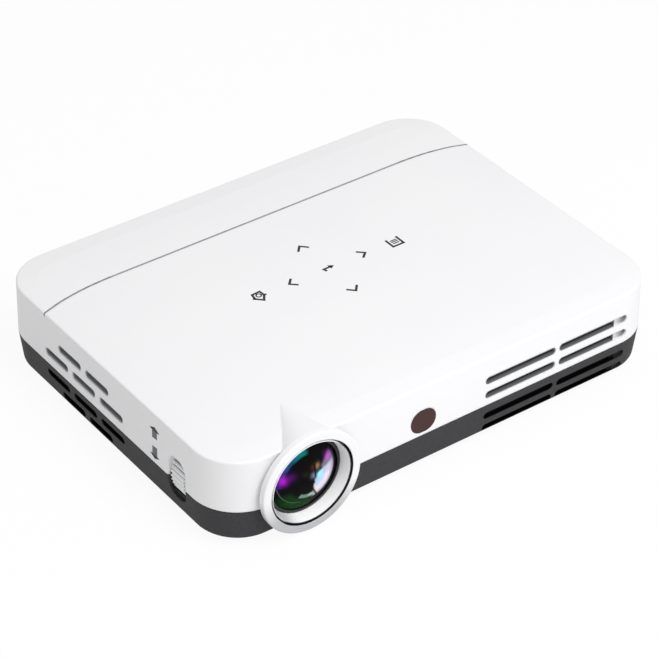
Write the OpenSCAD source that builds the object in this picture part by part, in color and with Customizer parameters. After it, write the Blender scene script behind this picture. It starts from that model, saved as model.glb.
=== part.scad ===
// Portable micromirror projector: two-part case, geared thumbwheel focus, light engine,
// cooling, battery and boards. Millimetres, +Z up, front along -Y, origin under the middle.

/* [Case] */
// Width of the case at the seam
case_w = 215; // [205:1:235]
// Depth of the case at the seam, without the lens ring
case_d = 162; // [160:1:180]
// Height of the dark base, from its underside to the seam
base_h = 14.8; // [14:0.1:17]
// Height of the white cover's walls above the seam
cover_h = 23.2; // [22.8:0.1:28]
// Rise of the crowned top above the cover's edge
crown_h = 0.8; // [0.3:0.1:2]
// Corner radius of the case, seen from above
corner_r = 20.4; // [16:0.1:26]
// Thickness of the walls of both shells
wall_t = 2.2; // [1.8:0.1:2.6]
// Thickness of the base's floor
floor_t = 2.2; // [1.6:0.1:2.4]
// Thickness of the cover's top at its edge
top_t = 2; // [1.5:0.1:2.2]
// Inset of the base's wall at its foot
base_inset = 1.4; // [1:0.1:3]
// Radius of the base's lower edge
base_edge_r = 2.4; // [1:0.1:3]
// Inset of the cover's wall at the top
cover_inset = 0.5; // [0.2:0.1:1.2]
// Radius of the cover's upper edge
cover_edge_r = 0.7; // [0.3:0.1:1.2]
// Height of the lip that locates the cover on the base
lip_h = 1.2; // [0.6:0.1:2]
// Width of the fine shadow gap along the seam
seam_gap = 0.35; // [0.2:0.05:0.5]
// Height of the rubber feet below the base
foot_h = 3; // [2.6:0.1:5]
// Radius of a rubber foot
foot_r = 6; // [4:0.5:8]
// Distance from the rear wall to the groove across the top
groove_back = 31.8; // [28:0.1:40]
// Width of the groove across the top
groove_w = 0.8; // [0.5:0.1:1.2]

/* [Lens mount] */
// Height of the lens axis above the base's underside
lens_z = 20.3; // [19.8:0.1:21]
// Outer radius of the trim ring round the lens
ring_r = 22.4; // [21:0.1:23]
// Width of the trim ring's face
ring_face = 3.65; // [3:0.05:4]
// Thickness of the trim ring
ring_t = 2.8; // [2:0.1:4]
// Gap between the trim ring and the front wall
ring_gap = 1.4; // [1:0.1:2]
// Length of the fairing that runs from the ring up onto the top
fairing_len = 21.5; // [18:0.5:30]
// Radius of the lens opening in the front wall
mouth_r = 18.5; // [18.3:0.1:18.8]
// Depth of the black lens cell behind the ring's face
cell_depth = 5.2; // [4.6:0.1:6]
// Radius of the glass front lens
front_lens_r = 15.2; // [14:0.1:15.4]
// Bulge of the front lens's outer face
front_lens_bulge = 4.2; // [3:0.1:4.4]
// Radius of the lens cell's sleeve
sleeve_r = 9; // [8:0.1:9.2]

/* [Focus drive] */
// Module of the focus gears
gear_module = 0.6; // [0.55:0.01:0.62]
// Teeth on the thumbwheel, which are its ribs
wheel_teeth = 42; // [40:1:44]
// Teeth on the focus ring
ring_teeth = 39; // [36:1:40]
// Width of the thumbwheel
wheel_w = 8.6; // [5:0.1:9]
// Height of the thumbwheel's axle above the base's underside
wheel_z = 15.9; // [15.9:0.1:19]
// Distance from the front wall's face to the middle of the thumbwheel
wheel_back = 31.5; // [31:0.1:33]
// Distance that the thumbwheel stays inside the side wall
wheel_recess = 0.45; // [0.3:0.05:1]
// Width of the finger pocket round the thumbwheel
pocket_w = 13.4; // [12:0.1:15]
// Height of the finger pocket
pocket_h = 21.6; // [18:0.1:22]
// Depth of the finger pocket
pocket_depth = 2.2; // [1.8:0.1:2.6]
// Travel of the lens for one turn of the focus ring
lead = 8; // [4:0.5:10]

/* [Openings] */
// Height of a vent slot
vent_h = 3.5; // [2.5:0.1:4]
// Length of a front vent slot
front_vent_len = 35.5; // [30:0.5:37]
// Length of the blind end of the outer front slots
vent_blind = 6.6; // [4:0.1:9]
// Length of a side vent slot
side_vent_len = 16.8; // [12:0.1:17]
// Pitch of the side vent slots
side_vent_pitch = 20; // [19:0.5:22]
// Width of the infrared window
ir_w = 12; // [10:0.1:14]
// Height of the infrared window
ir_h = 10.4; // [9:0.1:11]

/* [Cooling] */
// Radius of the exhaust blower's impeller
impeller_r = 20; // [17:0.5:21]
// Height of the exhaust blower's housing
blower_h = 17; // [14:0.5:19]
// Side length of the small fan's frame
small_fan = 30; // [26:0.5:31]
// Depth of the small fan's frame
small_fan_t = 8; // [7:0.5:9]
// Number of cooling fins
fin_count = 17; // [12:1:20]
// Pitch of the cooling fins
fin_pitch = 3.9; // [3.4:0.1:4.1]
// Radius of a heat pipe
pipe_r = 3; // [2.4:0.1:3.2]

/* [Electronics] */
// Width of the main board
board_w = 100; // [96:1:104]
// Depth of the main board
board_d = 59; // [56:1:62]
// Height of the boards above the base's underside
board_z = 18; // [16.5:0.1:18.4]
// Thickness of a circuit board
board_t = 1.6; // [1:0.1:2]
// Length of the battery pack
battery_w = 80; // [64:1:82]
// Depth of the battery pack
battery_d = 46; // [36:1:47]
// Thickness of the battery pack
battery_t = 11.5; // [8:0.1:12]
// Radius of the speaker
speaker_r = 14; // [10:0.5:14.5]
// Travel of the power button
button_travel = 0.8; // [0.4:0.1:1.2]
// Radius of the power button
button_r = 4; // [3:0.1:4.5]

/* [Clearances] */
// Radial running clearance of a shaft in its bore
run_gap = 0.05; // [0.02:0.01:0.1]
// Gap round parts that pass through an opening
fit_gap = 0.2; // [0.1:0.05:0.3]
// Gap between parts that move past each other
move_gap = 0.4; // [0.3:0.05:0.6]

/* [Hidden] */
$fn = 64;

// Levels and walls of the case
ring_out = ring_gap + ring_t;
side_x = case_w / 2;
front_y = -case_d / 2;
back_y = case_d / 2;
seam_z = base_h;
edge_z = base_h + cover_h;
roof_z = edge_z - top_t;
inner_r = corner_r - wall_t;
lip_t = wall_t / 2 - 0.1;
rabbet_t = wall_t / 2;
foot_seat = 0.6;
corner_screw = [side_x - 12.5, case_d / 2 - 13];
foot_at = [side_x - 20.5, case_d / 2 - 20];
screw_r = 1.25;
boss_r = 4;

// Focus drive: the thumbwheel's ribs mesh with the focus ring
pressure = 20;
gear_play = 0.12;
wheel_pitch_r = gear_module * wheel_teeth / 2;
ring_pitch_r = gear_module * ring_teeth / 2;
wheel_tip_r = wheel_pitch_r + gear_module;
gear_dist = wheel_pitch_r + ring_pitch_r + gear_play;
wheel_x = -side_x + wheel_recess + wheel_tip_r;
wheel_y = front_y + wheel_back;
lens_x = wheel_x + sqrt(pow(gear_dist, 2) - pow(lens_z - wheel_z, 2));
mesh_angle = atan2(lens_z - wheel_z, lens_x - wheel_x);
wheel_turn = 49;
ring_turn = wheel_turn * wheel_teeth / ring_teeth;
lens_travel = lead * ring_turn / 360;
axle_r = 1.5;
axle_eye_r = 4.2;
plate_t = 3;
plate_r = 13.5;
carrier_front = wheel_y - wheel_w / 2 - move_gap - plate_t;
carrier_back = wheel_y + wheel_w / 2 + move_gap + plate_t;

// Lens: bezel, cell and glass, all turned about the lens axis
ring_y = front_y - ring_out;
ring_in_r = ring_r - ring_face;
ring_hub_r = ring_in_r + 1.45;
bezel_r = mouth_r - fit_gap;
bezel_bore_r = bezel_r - 1.7;
bezel_lip = 0.3;
bezel_len = 11.5;
cell_r = bezel_bore_r - move_gap;
cell_y = ring_y + cell_depth;
cell_seat = 4.5;
cell_neck = carrier_front - cell_y - lens_travel - 1.5;
cell_end = carrier_back - cell_y + 2;
sleeve_bore_r = sleeve_r - 1.2;
rear_lens_t = 3;

// Light engine: a head behind the lens and an arm to the right
engine_y = carrier_back;
engine_wall = 2;
engine_z = floor_t + 2;
optic_half = 10;
optic_floor = lens_z - optic_half;
engine_top = lens_z + optic_half + 0.7;
lid_t = 2;
head_w = 40;
head_d = 40;
arm_d = 28;
arm_back = 20.7;
arm_y = engine_y + arm_back;
arm_reach = 72;
arm_end = lens_x + arm_reach;
led_plate = 20;
led_plate_t = 2.5;
led_hole_r = 8;
led_reach = [38, 60];
led_x = [lens_x + led_reach[0], lens_x + led_reach[1]];
chip = [24, 2.2, 16];
imager_window = [18, 12];
imager_y = engine_y + head_d + chip[1];

// Cooling on the right: fins behind the front vents, blower behind the fins
vent_mid = side_x - 54.7;
vent_gap = 18.7 + (front_vent_len - 35.5) / 2;
fin_t = 1;
fin_d = 20;
fin_y = front_y + 5;
fin_z = floor_t + 2;
fin_h = 28;
fin_x = vent_mid - (fin_count - 1) * fin_pitch / 2 - fin_t / 2;
pipe_y = fin_y + fin_d / 2;
pipe_a_z = lens_z + 5;
pipe_b_z = lens_z - 6;
pipe_a_y = arm_y - arm_d / 2 - led_plate_t - pipe_r;
pipe_b_x = arm_end + led_plate_t + pipe_r;
blower_gap = 2.5;
blower_rim = 4.5;
blower_w = 2 * (impeller_r + blower_gap + blower_rim);
blower_shift = 7;
blower_x = vent_mid + blower_shift;
blower_y = fin_y + fin_d + 0.3;
blower_z = floor_t + 1.5;
blower_outlet = 7.2;
impeller = [blower_x, blower_y + impeller_r + blower_gap + blower_outlet];
blower_floor = 1.5;
blower_wall = 1.5;
fan_pin_r = 1.5;
impeller_h = blower_h - blower_floor - 3;
impeller_hub_r = 9;
side_fan_x = -side_x + 4.6;
side_fan_y = 16;
side_fan_z = floor_t + 1;
side_fan_mid = side_fan_z + small_fan / 2;
side_rotor_r = small_fan / 2 - 1.8;

// Fairing: its step in from the ring, radius of its tip, and how far the tip lies beside the lens axis
fairing_step = 1.2;
fairing_tip = 2.2;
fairing_side = 4.2;

// Finger pocket: its corners, its rounded rim and how far its middle lies above the axle
pocket_r = 5.5;
pocket_rim = 1.2;
pocket_lift = 0.3;

// Vents: dark inserts line the slots of the cover
blind_depth = 1.6;
insert_t = 0.45;
insert_gap = 0.1;
insert_plate = 1;
insert_edge = 1.4;
insert_back = wall_t + cover_inset + 0.05;
front_rows = [seam_z + 4.7, seam_z + 11.5];
side_rows = [[seam_z + 5.6, 3], [seam_z + 12.5, 2]];

// Boards and battery at the back
board_x = -4;
board_back = back_y - 3.4;
board_front = board_back - board_d;
post_inset = 4;
post_back = 6;
board_top = board_z + board_t;
power_w = 30;
power_edge = 18.5;
power_d = 44;
power_x = side_x - power_edge - power_w / 2;
wifi = [24, 22];
wifi_at = [-side_x + 21.5, back_y - 30];
post_r = 2.6;
battery_gap = 0.6;
pilot_r = 0.9;
pad_h = 1;
battery_y = board_back - post_back - post_r - battery_gap - battery_d;
battery_z = floor_t + pad_h;
speaker_h = 6;
speaker_at = [side_x - wall_t - base_inset - 1 - speaker_h, side_fan_y,
              floor_t + 1 + speaker_r];
tripod_at = [15, 3];
tripod_r = 2.6;
tripod_len = 7;
insert_r = 4.6;
touch = [86, 50];
touch_t = 1;
touch_at = [1.4, 3.2];
touch_z = roof_z - touch_t;
ir_at = [-14.3, 21.4];
ir_board_y = front_y + 7.5;
ir_board_t = 1;

// Sockets along the rear wall, on the boards
socket_face = back_y - 0.8;
hdmi_x = board_x + 36;
usb_x = [board_x + 18, board_x + 1];
audio_x = board_x - 15;
card_x = board_x - 34;
dc_x = power_x + 7;
dc_bore_r = 2.75;
audio_bore_r = 1.8;
audio_rise = 3.2;
dc_rise = 5.5;
audio_z = board_top + audio_rise;
dc_z = board_top + dc_rise;
button_side = 8;
button_flange_r = button_r + 1.3;
button_x = power_x - button_side;
button_z = board_top + button_flange_r + move_gap;
button_flange_y = back_y - wall_t - cover_inset - 0.2;
button_flange_t = 1.4;

// ---- Shared shapes ----

// Moves a piece from the case's own frame (middle of the case, base's underside)
module place() {
    translate([0, ring_out / 2, foot_h])
        children();
}

// Points of an arc, from angle a0 to a1
function arc_points(c, r, a0, a1, n = 6) =
    [for (i = [0:n]) [c[0] + r * cos(a0 + (a1 - a0) * i / n),
                      c[1] + r * sin(a0 + (a1 - a0) * i / n)]];

// A section carried round a rounded rectangle. Its first number is the distance
// outward from the corner's centre and its second the height.
module carry_round(w, d, r, section) {
    for (sx = [-1, 1], sy = [-1, 1])
        translate([sx * (w / 2 - r), sy * (d / 2 - r), 0])
            rotate([0, 0, sx > 0 ? (sy > 0 ? 0 : -90) : (sy > 0 ? 90 : 180)])
                rotate_extrude(angle = 90)
                    polygon(section);
    for (side = [[0, w, d], [90, d, w], [180, w, d], [270, d, w]])
        rotate([0, 0, side[0]])
            translate([side[1] / 2 - r, side[2] / 2 - r, 0])
                rotate([90, 0, 0])
                    linear_extrude(side[2] - 2 * r)
                        polygon(section);
}

// The flat middle that closes such a section
module middle_slab(w, d, r, z0, z1) {
    translate([r - w / 2, r - d / 2, z0])
        cube([w - 2 * r, d - 2 * r, z1 - z0]);
}

// A slot with round ends, lying along X
module slot_shape(len, h) {
    square([len - h, h], center = true);
    for (s = [-1, 1])
        translate([s * (len - h) / 2, 0])
            circle(d = h);
}

// A rectangle with round corners
module round_rect(w, h, r) {
    square([w - 2 * r, h], center = true);
    square([w, h - 2 * r], center = true);
    for (sx = [-1, 1], sy = [-1, 1])
        translate([sx * (w / 2 - r), sy * (h / 2 - r)])
            circle(r = r);
}

// Carries a flat shape in X and Z back along +Y
module along_y(y, len) {
    translate([0, y + len, 0])
        rotate([90, 0, 0])
            linear_extrude(len)
                children();
}

// Carries a flat shape in Y and Z along +X
module along_x(x, len) {
    translate([x, 0, 0])
        rotate([90, 0, 90])
            linear_extrude(len)
                children();
}

// Turns a profile of radius and distance behind y about the lens axis
module turned(y) {
    translate([lens_x, y, lens_z])
        rotate([-90, 0, 0])
            rotate_extrude()
                children();
}

// A round bar along +Y
module bar_y(x, y, z, r, len) {
    translate([x, y, z])
        rotate([-90, 0, 0])
            cylinder(r = r, h = len);
}

// A box centred in X and Y
module block(w, d, h) {
    translate([-w / 2, -d / 2, 0])
        cube([w, d, h]);
}

// A screw with its head up and its shank down, the head's seat at zero
module screw(head_r, head_h, shank_r, len) {
    cylinder(r = head_r, h = head_h);
    translate([0, 0, -len])
        cylinder(r = shank_r, h = len);
}

// Half the angle of an involute tooth at radius r
function involute(a) = tan(a) * 180 / PI - a;
function tooth_half(n, rb, r, slim) =
    90 / n - slim + involute(pressure) - involute(acos(min(1, rb / r)));

// Outline of a spur gear, its first tooth along +X
function gear_points(n, slim) =
    let (rp = gear_module * n / 2,
         rb = rp * cos(pressure),
         rf = rp - 1.2 * gear_module,
         flank = [rf, rp, rp + gear_module])
    [for (i = [0:n - 1])
        each concat(
            [for (r = flank) let (a = i * 360 / n - tooth_half(n, rb, max(r, rb), slim))
                [r * cos(a), r * sin(a)]],
            [for (k = [2:-1:0]) let (r = flank[k],
                a = i * 360 / n + tooth_half(n, rb, max(r, rb), slim))
                [r * cos(a), r * sin(a)]])];

// ---- Case ----

base_section = concat(
    [[0, 0]],
    arc_points([corner_r - base_inset - base_edge_r * 0.97, base_edge_r], base_edge_r,
               -90, -10),
    [[corner_r, seam_z - seam_gap],
     [corner_r - seam_gap, seam_z - seam_gap],
     [corner_r - seam_gap, seam_z],
     [inner_r + lip_t, seam_z],
     [inner_r + lip_t, seam_z + lip_h],
     [inner_r, seam_z + lip_h],
     [inner_r, seam_z],
     [inner_r - base_inset, floor_t],
     [0, floor_t]]);

pocket_section = concat(
    [[0, -pocket_depth],
     [pocket_r - pocket_rim, -pocket_depth]],
    arc_points([pocket_r, -pocket_rim], pocket_rim, 180, 90),
    [[pocket_r, 1],
     [0, 1]]);

cover_section = concat(
    [[0, roof_z],
     [inner_r - cover_inset, roof_z],
     [inner_r, seam_z + lip_h + fit_gap],
     [inner_r + rabbet_t, seam_z + lip_h + fit_gap],
     [inner_r + rabbet_t, seam_z],
     [corner_r, seam_z]],
    arc_points([corner_r - cover_inset - cover_edge_r, edge_z - cover_edge_r],
               cover_edge_r, 0, 80),
    [[corner_r * 0.55, edge_z + crown_h * 0.75],
     [0, edge_z + crown_h]]);

// A slot that ends square, short of its right end
module open_slot(len, h, blind) {
    translate([-(len - h) / 2, 0])
        circle(d = h);
    translate([-(len - h) / 2, -h / 2])
        square([len - h / 2 - blind, h]);
}

// Distance of the walls' outer face inside the case's outline at height z
function wall_in(z) = z < seam_z ? base_inset * (1 - z / seam_z)
                                 : cover_inset * (z - seam_z) / cover_h;

// Front vents: two columns of slots right of the middle, the outer ones with a blind end
module front_vents(levels) {
    for (z = levels)
        translate([0, 0, z]) {
            along_y(front_y - 1, wall_t + base_inset + 2) {
                translate([vent_mid - vent_gap, 0])
                    slot_shape(front_vent_len, vent_h);
                translate([vent_mid + vent_gap, 0])
                    open_slot(front_vent_len, vent_h, vent_blind);
            }
            along_y(front_y - 1, 1 + wall_in(z) + blind_depth)
                translate([vent_mid + vent_gap, 0])
                    slot_shape(front_vent_len, vent_h);
        }
}

// Side vents: rows of three and two slots, staggered as brickwork
module side_vents(rows) {
    for (s = [-1, 1], row = rows, i = [0:row[1] - 1])
        translate([0, side_fan_y + (i - (row[1] - 1) / 2) * side_vent_pitch, row[0]])
            along_x(s * side_x - (s > 0 ? wall_t + base_inset : 1),
                    wall_t + base_inset + 1)
                slot_shape(side_vent_len, vent_h);
}

// Finger pocket: a thick floor behind the side wall, and what is cut from it
module pocket_pad() {
    along_x(-side_x + wall_t / 2 + base_inset / 2, pocket_depth - 0.1)
        translate([wheel_y, wheel_z + pocket_lift])
            round_rect(pocket_w + 4, pocket_h + 3, pocket_r);
}

module pocket_cut() {
    translate([-side_x, wheel_y, wheel_z + pocket_lift])
        rotate([0, -90, 0]) {
            carry_round(pocket_h, pocket_w, pocket_r, pocket_section);
            middle_slab(pocket_h, pocket_w, pocket_r, -pocket_depth, 1);
        }
    bar_y(wheel_x, wheel_y - wheel_w / 2 - move_gap, wheel_z, wheel_tip_r + move_gap,
          wheel_w + 2 * move_gap);
}

// The base's lip stands back where the cover's pocket floor comes down to the seam
module lip_relief() {
    along_x(-side_x + wall_t / 2, pocket_depth + base_inset + 1)
        translate([wheel_y - pocket_w / 2 - 2 - fit_gap, seam_z])
            square([pocket_w + 4 + 2 * fit_gap, lip_h + fit_gap]);
}

// The round mouth for the lens, with room for the moving cell behind it
module mouth_cut() {
    bar_y(lens_x, front_y - 2, lens_z, mouth_r, bezel_len - ring_out + 2.5);
    bar_y(lens_x, front_y, lens_z, cell_r + 0.8, carrier_front - front_y - 4);
}

// Half-space above or below the seam, for parts shared by both shells
module band(z0, z1) {
    translate([-side_x - 5, front_y - 10, z0])
        cube([case_w + 10, case_d + 20, z1 - z0]);
}

module corner_places() {
    for (sx = [-1, 1], sy = [-1, 1])
        translate([sx * corner_screw[0], sy * corner_screw[1], 0])
            children();
}

engine_posts = [[lens_x - 15, engine_y + 7], [lens_x + 15, engine_y + 7],
                [lens_x - 15, engine_y + head_d - 6], [arm_end - 6, arm_y]];
board_posts = [for (sx = [-1, 1], y = [board_front + post_inset, board_back - post_back])
                   [board_x + sx * (board_w / 2 - post_inset), y]];
power_posts = [for (sx = [-1, 1], y = [board_back - power_d + post_inset, board_back - 18])
                   [power_x + sx * (power_w / 2 - post_inset), y]];
wifi_posts = [for (sx = [-1, 1])
                  [wifi_at[0] + sx * (wifi[0] / 2 - 3), wifi_at[1]]];
small_posts = concat(board_posts, power_posts, wifi_posts);

module base_posts() {
    for (p = engine_posts)
        translate([p[0], p[1], floor_t / 2])
            cylinder(r = 3, h = engine_z - floor_t / 2);
    for (p = small_posts)
        translate([p[0], p[1], floor_t / 2])
            cylinder(r = post_r, h = board_z - floor_t / 2);
    corner_places()
        translate([0, 0, floor_t / 2])
            cylinder(r = boss_r, h = seam_z - floor_t / 2);
    translate([tripod_at[0], tripod_at[1], floor_t / 2])
        cylinder(r = insert_r + 2, h = tripod_len + 1.5 - floor_t / 2);
}

module base_ribs() {
    // Rails under the fins, the blower and the small fan
    for (x = [vent_mid - 26, vent_mid + 26])
        translate([x, fin_y + fin_d / 2, floor_t / 2])
            block(2, fin_d, fin_z - floor_t / 2);
    for (sx = [-1, 1], sy = [-1, 1])
        translate([blower_x + sx * (blower_w / 2 - 4),
                   blower_y + blower_w / 2 + sy * (blower_w / 2 - 4), floor_t / 2])
            cylinder(r = 2.5, h = blower_z - floor_t / 2);
    for (s = [-1, 1])
        translate([side_fan_x + small_fan_t / 2, side_fan_y + s * (small_fan / 2 - 3),
                   floor_t / 2])
            block(small_fan_t + 1, 3, side_fan_z - floor_t / 2);
    // Pads and end walls of the battery's bay
    for (s = [-1, 1]) {
        translate([board_x + s * (battery_w / 2 - 8), battery_y + battery_d / 2,
                   floor_t / 2])
            block(6, battery_d, battery_z - floor_t / 2);
        translate([board_x + s * (battery_w / 2 + fit_gap + 0.6),
                   battery_y + battery_d / 2, floor_t / 2])
            block(1.2, battery_d * 0.6, battery_t * 0.7);
    }
    // Cradle under the upright speaker
    difference() {
        translate([speaker_at[0] + speaker_h - 2, speaker_at[1], floor_t / 2])
            block(5, speaker_r * 1.5, speaker_r * 0.5);
        translate([speaker_at[0] + speaker_h * 2 / 3 - 0.05, speaker_at[1], speaker_at[2]])
            rotate([0, 90, 0])
                cylinder(r = speaker_r + run_gap, h = speaker_h / 3 + 0.1);
        translate([speaker_at[0] - 1, speaker_at[1], speaker_at[2]])
            rotate([0, 90, 0])
                cylinder(r = speaker_r * 0.9, h = speaker_h + 5);
    }
    // Bracket behind the infrared receiver's board
    translate([ir_at[0], ir_board_y + ir_board_t + 1, floor_t / 2])
        block(14, 2, seam_z - floor_t / 2);
}

module base_holes() {
    corner_places() {
        translate([0, 0, -1])
            cylinder(r = 3, h = 4);
        translate([0, 0, -1])
            cylinder(r = screw_r + 0.15, h = seam_z + 2);
    }
    for (sx = [-1, 1], sy = [-1, 1])
        translate([sx * foot_at[0], sy * foot_at[1], -1])
            cylinder(r = foot_r + 0.1, h = 1 + foot_seat);
    for (p = small_posts)
        translate([p[0], p[1], board_z - 6])
            cylinder(r = pilot_r, h = 7);
    translate([tripod_at[0], tripod_at[1], -1])
        cylinder(r = insert_r, h = 1 + tripod_len);
    // Intake grille under the blower
    for (i = [-3:3])
        translate([impeller[0] + i * 4.4, impeller[1], -1])
            linear_extrude(floor_t + 2)
                rotate(90)
                    slot_shape(sqrt(pow(impeller_r - 4, 2) - pow(i * 4.4, 2)) * 2, 2.4);
}

module base_shell() {
    color([0.16, 0.16, 0.17])
        place()
            difference() {
                union() {
                    carry_round(case_w, case_d, corner_r, base_section);
                    middle_slab(case_w, case_d, corner_r, 0, floor_t);
                    base_posts();
                    base_ribs();
                    intersection() {
                        pocket_pad();
                        band(floor_t / 2, seam_z);
                    }
                }
                base_holes();
                front_vents([seam_z - 6, seam_z - 12.3]);
                side_vents([[seam_z - 5, 3], [seam_z - 11, 2]]);
                lip_relief();
                pocket_cut();
                mouth_cut();
            }
}

// The fairing: a slanting cone from the ring up to a point on the top
module fairing() {
    difference() {
        intersection() {
            hull() {
                bar_y(lens_x, ring_y + ring_t, lens_z, ring_r - fairing_step, 0.01);
                translate([lens_x + fairing_side, front_y + fairing_len,
                           edge_z + crown_h / 2 - fairing_tip * 0.75])
                    sphere(r = fairing_tip, $fn = 32);
            }
            band(edge_z - top_t / 2, edge_z + 20);
        }
        bar_y(lens_x, ring_y, lens_z, ring_hub_r + 0.1, ring_out);
    }
}

// The fine groove that crosses the top and bends forward at both ends
module top_groove() {
    bend_r = 129;
    run = side_x - 35.5;
    y = back_y - groove_back;
    translate([0, y, edge_z - 0.2])
        block(2 * run, groove_w, 5);
    for (s = [-1, 1])
        translate([s * run, y - bend_r, edge_z - 0.2])
            intersection() {
                difference() {
                    cylinder(r = bend_r + groove_w / 2, h = 5);
                    translate([0, 0, -1])
                        cylinder(r = bend_r - groove_w / 2, h = 7);
                }
                translate([s > 0 ? 0 : -40, bend_r - 15, -1])
                    cube([40, 20, 7]);
            }
}

module cover_posts() {
    corner_places()
        translate([0, 0, seam_z])
            cylinder(r = boss_r, h = roof_z + 0.5 - seam_z);
}

module rear_openings() {
    along_y(back_y - 4, 6) {
        translate([hdmi_x, board_top + 3])
            square([15.4, 6.4], center = true);
        for (x = usb_x)
            translate([x, board_top + 3.6])
                square([14, 7.6], center = true);
        translate([card_x, board_top + 1])
            square([14.4, 2.4], center = true);
        translate([dc_x, dc_z])
            circle(r = 4.6);
        translate([audio_x, audio_z])
            circle(r = 3.3);
        translate([button_x, button_z])
            circle(r = button_r + 0.3);
    }
}

module top_cover() {
    color([0.95, 0.95, 0.95])
        place()
            difference() {
                union() {
                    carry_round(case_w, case_d, corner_r, cover_section);
                    middle_slab(case_w, case_d, corner_r, roof_z, edge_z + crown_h);
                    cover_posts();
                    fairing();
                    intersection() {
                        pocket_pad();
                        band(seam_z, roof_z + 0.5);
                    }
                }
                corner_places()
                    translate([0, 0, seam_z - 1])
                        cylinder(r = screw_r + run_gap, h = 10);
                front_vents(front_rows);
                side_vents(side_rows);
                pocket_cut();
                mouth_cut();
                along_y(front_y - 1, wall_t + 3)
                    translate([ir_at[0], ir_at[1]])
                        slot_shape(ir_w + 0.2, ir_h + 0.2);
                top_groove();
                rear_openings();
            }
}

// The lining of one slot: a thin tube through the wall, drawn as its cross-section
module lining(len, blind) {
    outer = vent_h - 2 * insert_gap;
    difference() {
        if (blind > 0)
            open_slot(len - 2 * insert_gap, outer, blind);
        else
            slot_shape(len - 2 * insert_gap, outer);
        if (blind > 0)
            open_slot(len - 2 * insert_gap - 2 * insert_t, outer - 2 * insert_t, blind);
        else
            slot_shape(len - 2 * insert_gap - 2 * insert_t, outer - 2 * insert_t);
    }
}

// Places of the side slots of the cover on the wall's plane
module side_slots() {
    for (row = side_rows, i = [0:row[1] - 1])
        translate([side_fan_y + (i - (row[1] - 1) / 2) * side_vent_pitch, row[0]])
            children();
}

module front_insert() {
    z0 = front_rows[0] - vent_h / 2 - insert_edge;
    z1 = front_rows[1] + vent_h / 2 + insert_edge;
    half = vent_gap + front_vent_len / 2 + insert_edge;
    for (z = front_rows)
        translate([0, 0, z])
            along_y(front_y + insert_t, insert_back + 0.1 - insert_t) {
                translate([vent_mid - vent_gap, 0])
                    lining(front_vent_len, 0);
                translate([vent_mid + vent_gap, 0])
                    lining(front_vent_len, vent_blind);
            }
    along_y(front_y + insert_back, insert_plate)
        difference() {
            translate([vent_mid - half, z0])
                square([2 * half - vent_blind, z1 - z0]);
            for (z = front_rows) {
                translate([vent_mid - vent_gap, z])
                    slot_shape(front_vent_len - 2 * insert_gap - 2 * insert_t,
                               vent_h - 2 * insert_gap - 2 * insert_t);
                translate([vent_mid + vent_gap, z])
                    open_slot(front_vent_len - 2 * insert_gap - 2 * insert_t,
                              vent_h - 2 * insert_gap - 2 * insert_t, vent_blind);
            }
        }
}

module side_insert(s) {
    z0 = side_rows[0][0] - vent_h / 2 - insert_edge;
    z1 = side_rows[1][0] + vent_h / 2 + insert_edge;
    half = side_vent_pitch + side_vent_len / 2 + insert_edge;
    tube = insert_back + 0.1 - insert_t;
    along_x(s > 0 ? side_x - insert_t - tube : -side_x + insert_t, tube)
        side_slots()
            lining(side_vent_len, 0);
    along_x(s > 0 ? side_x - insert_back - insert_plate : -side_x + insert_back,
            insert_plate)
        difference() {
            translate([side_fan_y - half, z0])
                square([2 * half, z1 - z0]);
            side_slots()
                slot_shape(side_vent_len - 2 * insert_gap - 2 * insert_t,
                           vent_h - 2 * insert_gap - 2 * insert_t);
        }
}

module vent_inserts() {
    color([0.2, 0.2, 0.21])
        place() {
            front_insert();
            side_insert(-1);
            side_insert(1);
        }
}

module rubber_feet() {
    color([0.1, 0.1, 0.1])
        place()
            for (sx = [-1, 1], sy = [-1, 1])
                translate([sx * foot_at[0], sy * foot_at[1], -foot_h])
                    rotate_extrude()
                        polygon(concat([[0, 0]],
                                       arc_points([foot_r - 0.6, 0.6], 0.6, -90, 0, 4),
                                       [[foot_r, foot_h + foot_seat],
                                        [0, foot_h + foot_seat]]));
}

module base_screws() {
    color([0.3, 0.3, 0.32])
        place()
            corner_places()
                translate([0, 0, 3])
                    mirror([0, 0, 1])
                        screw(2.6, 2, screw_r, seam_z + 5);
}

module tripod_insert() {
    color([0.75, 0.6, 0.3])
        place()
            translate([tripod_at[0], tripod_at[1], 0])
                difference() {
                    cylinder(r = insert_r, h = tripod_len);
                    translate([0, 0, -1])
                        cylinder(r = tripod_r, h = tripod_len + 2);
                }
}

// ---- Lens ----

module lens_ring() {
    color([0.82, 0.83, 0.84])
        place()
            turned(ring_y)
                polygon(concat(
                    [[ring_in_r + 0.3, 0]],
                    arc_points([ring_r - 0.7, 0.7], 0.7, -90, 0),
                    [[ring_r, ring_t],
                     [ring_hub_r, ring_t],
                     [ring_hub_r, ring_out],
                     [ring_in_r, ring_out],
                     [ring_in_r, 0.3]]));
}

module lens_bezel() {
    color([0.86, 0.87, 0.88])
        place() {
            turned(ring_y)
                polygon([[bezel_r - 0.45, bezel_lip],
                         [bezel_r - 0.25, bezel_lip],
                         [bezel_r - 0.25, 3],
                         [bezel_r, 3],
                         [bezel_r, bezel_len],
                         [bezel_bore_r, bezel_len],
                         [bezel_bore_r, cell_depth]]);
            // Two snap ears behind the front wall
            intersection() {
                turned(front_y + wall_t + cover_inset + run_gap)
                    translate([bezel_r - 0.2, 0])
                        square([2.9, 2]);
                band(seam_z - 2.2, lens_z + 7.8);
            }
        }
}

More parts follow.
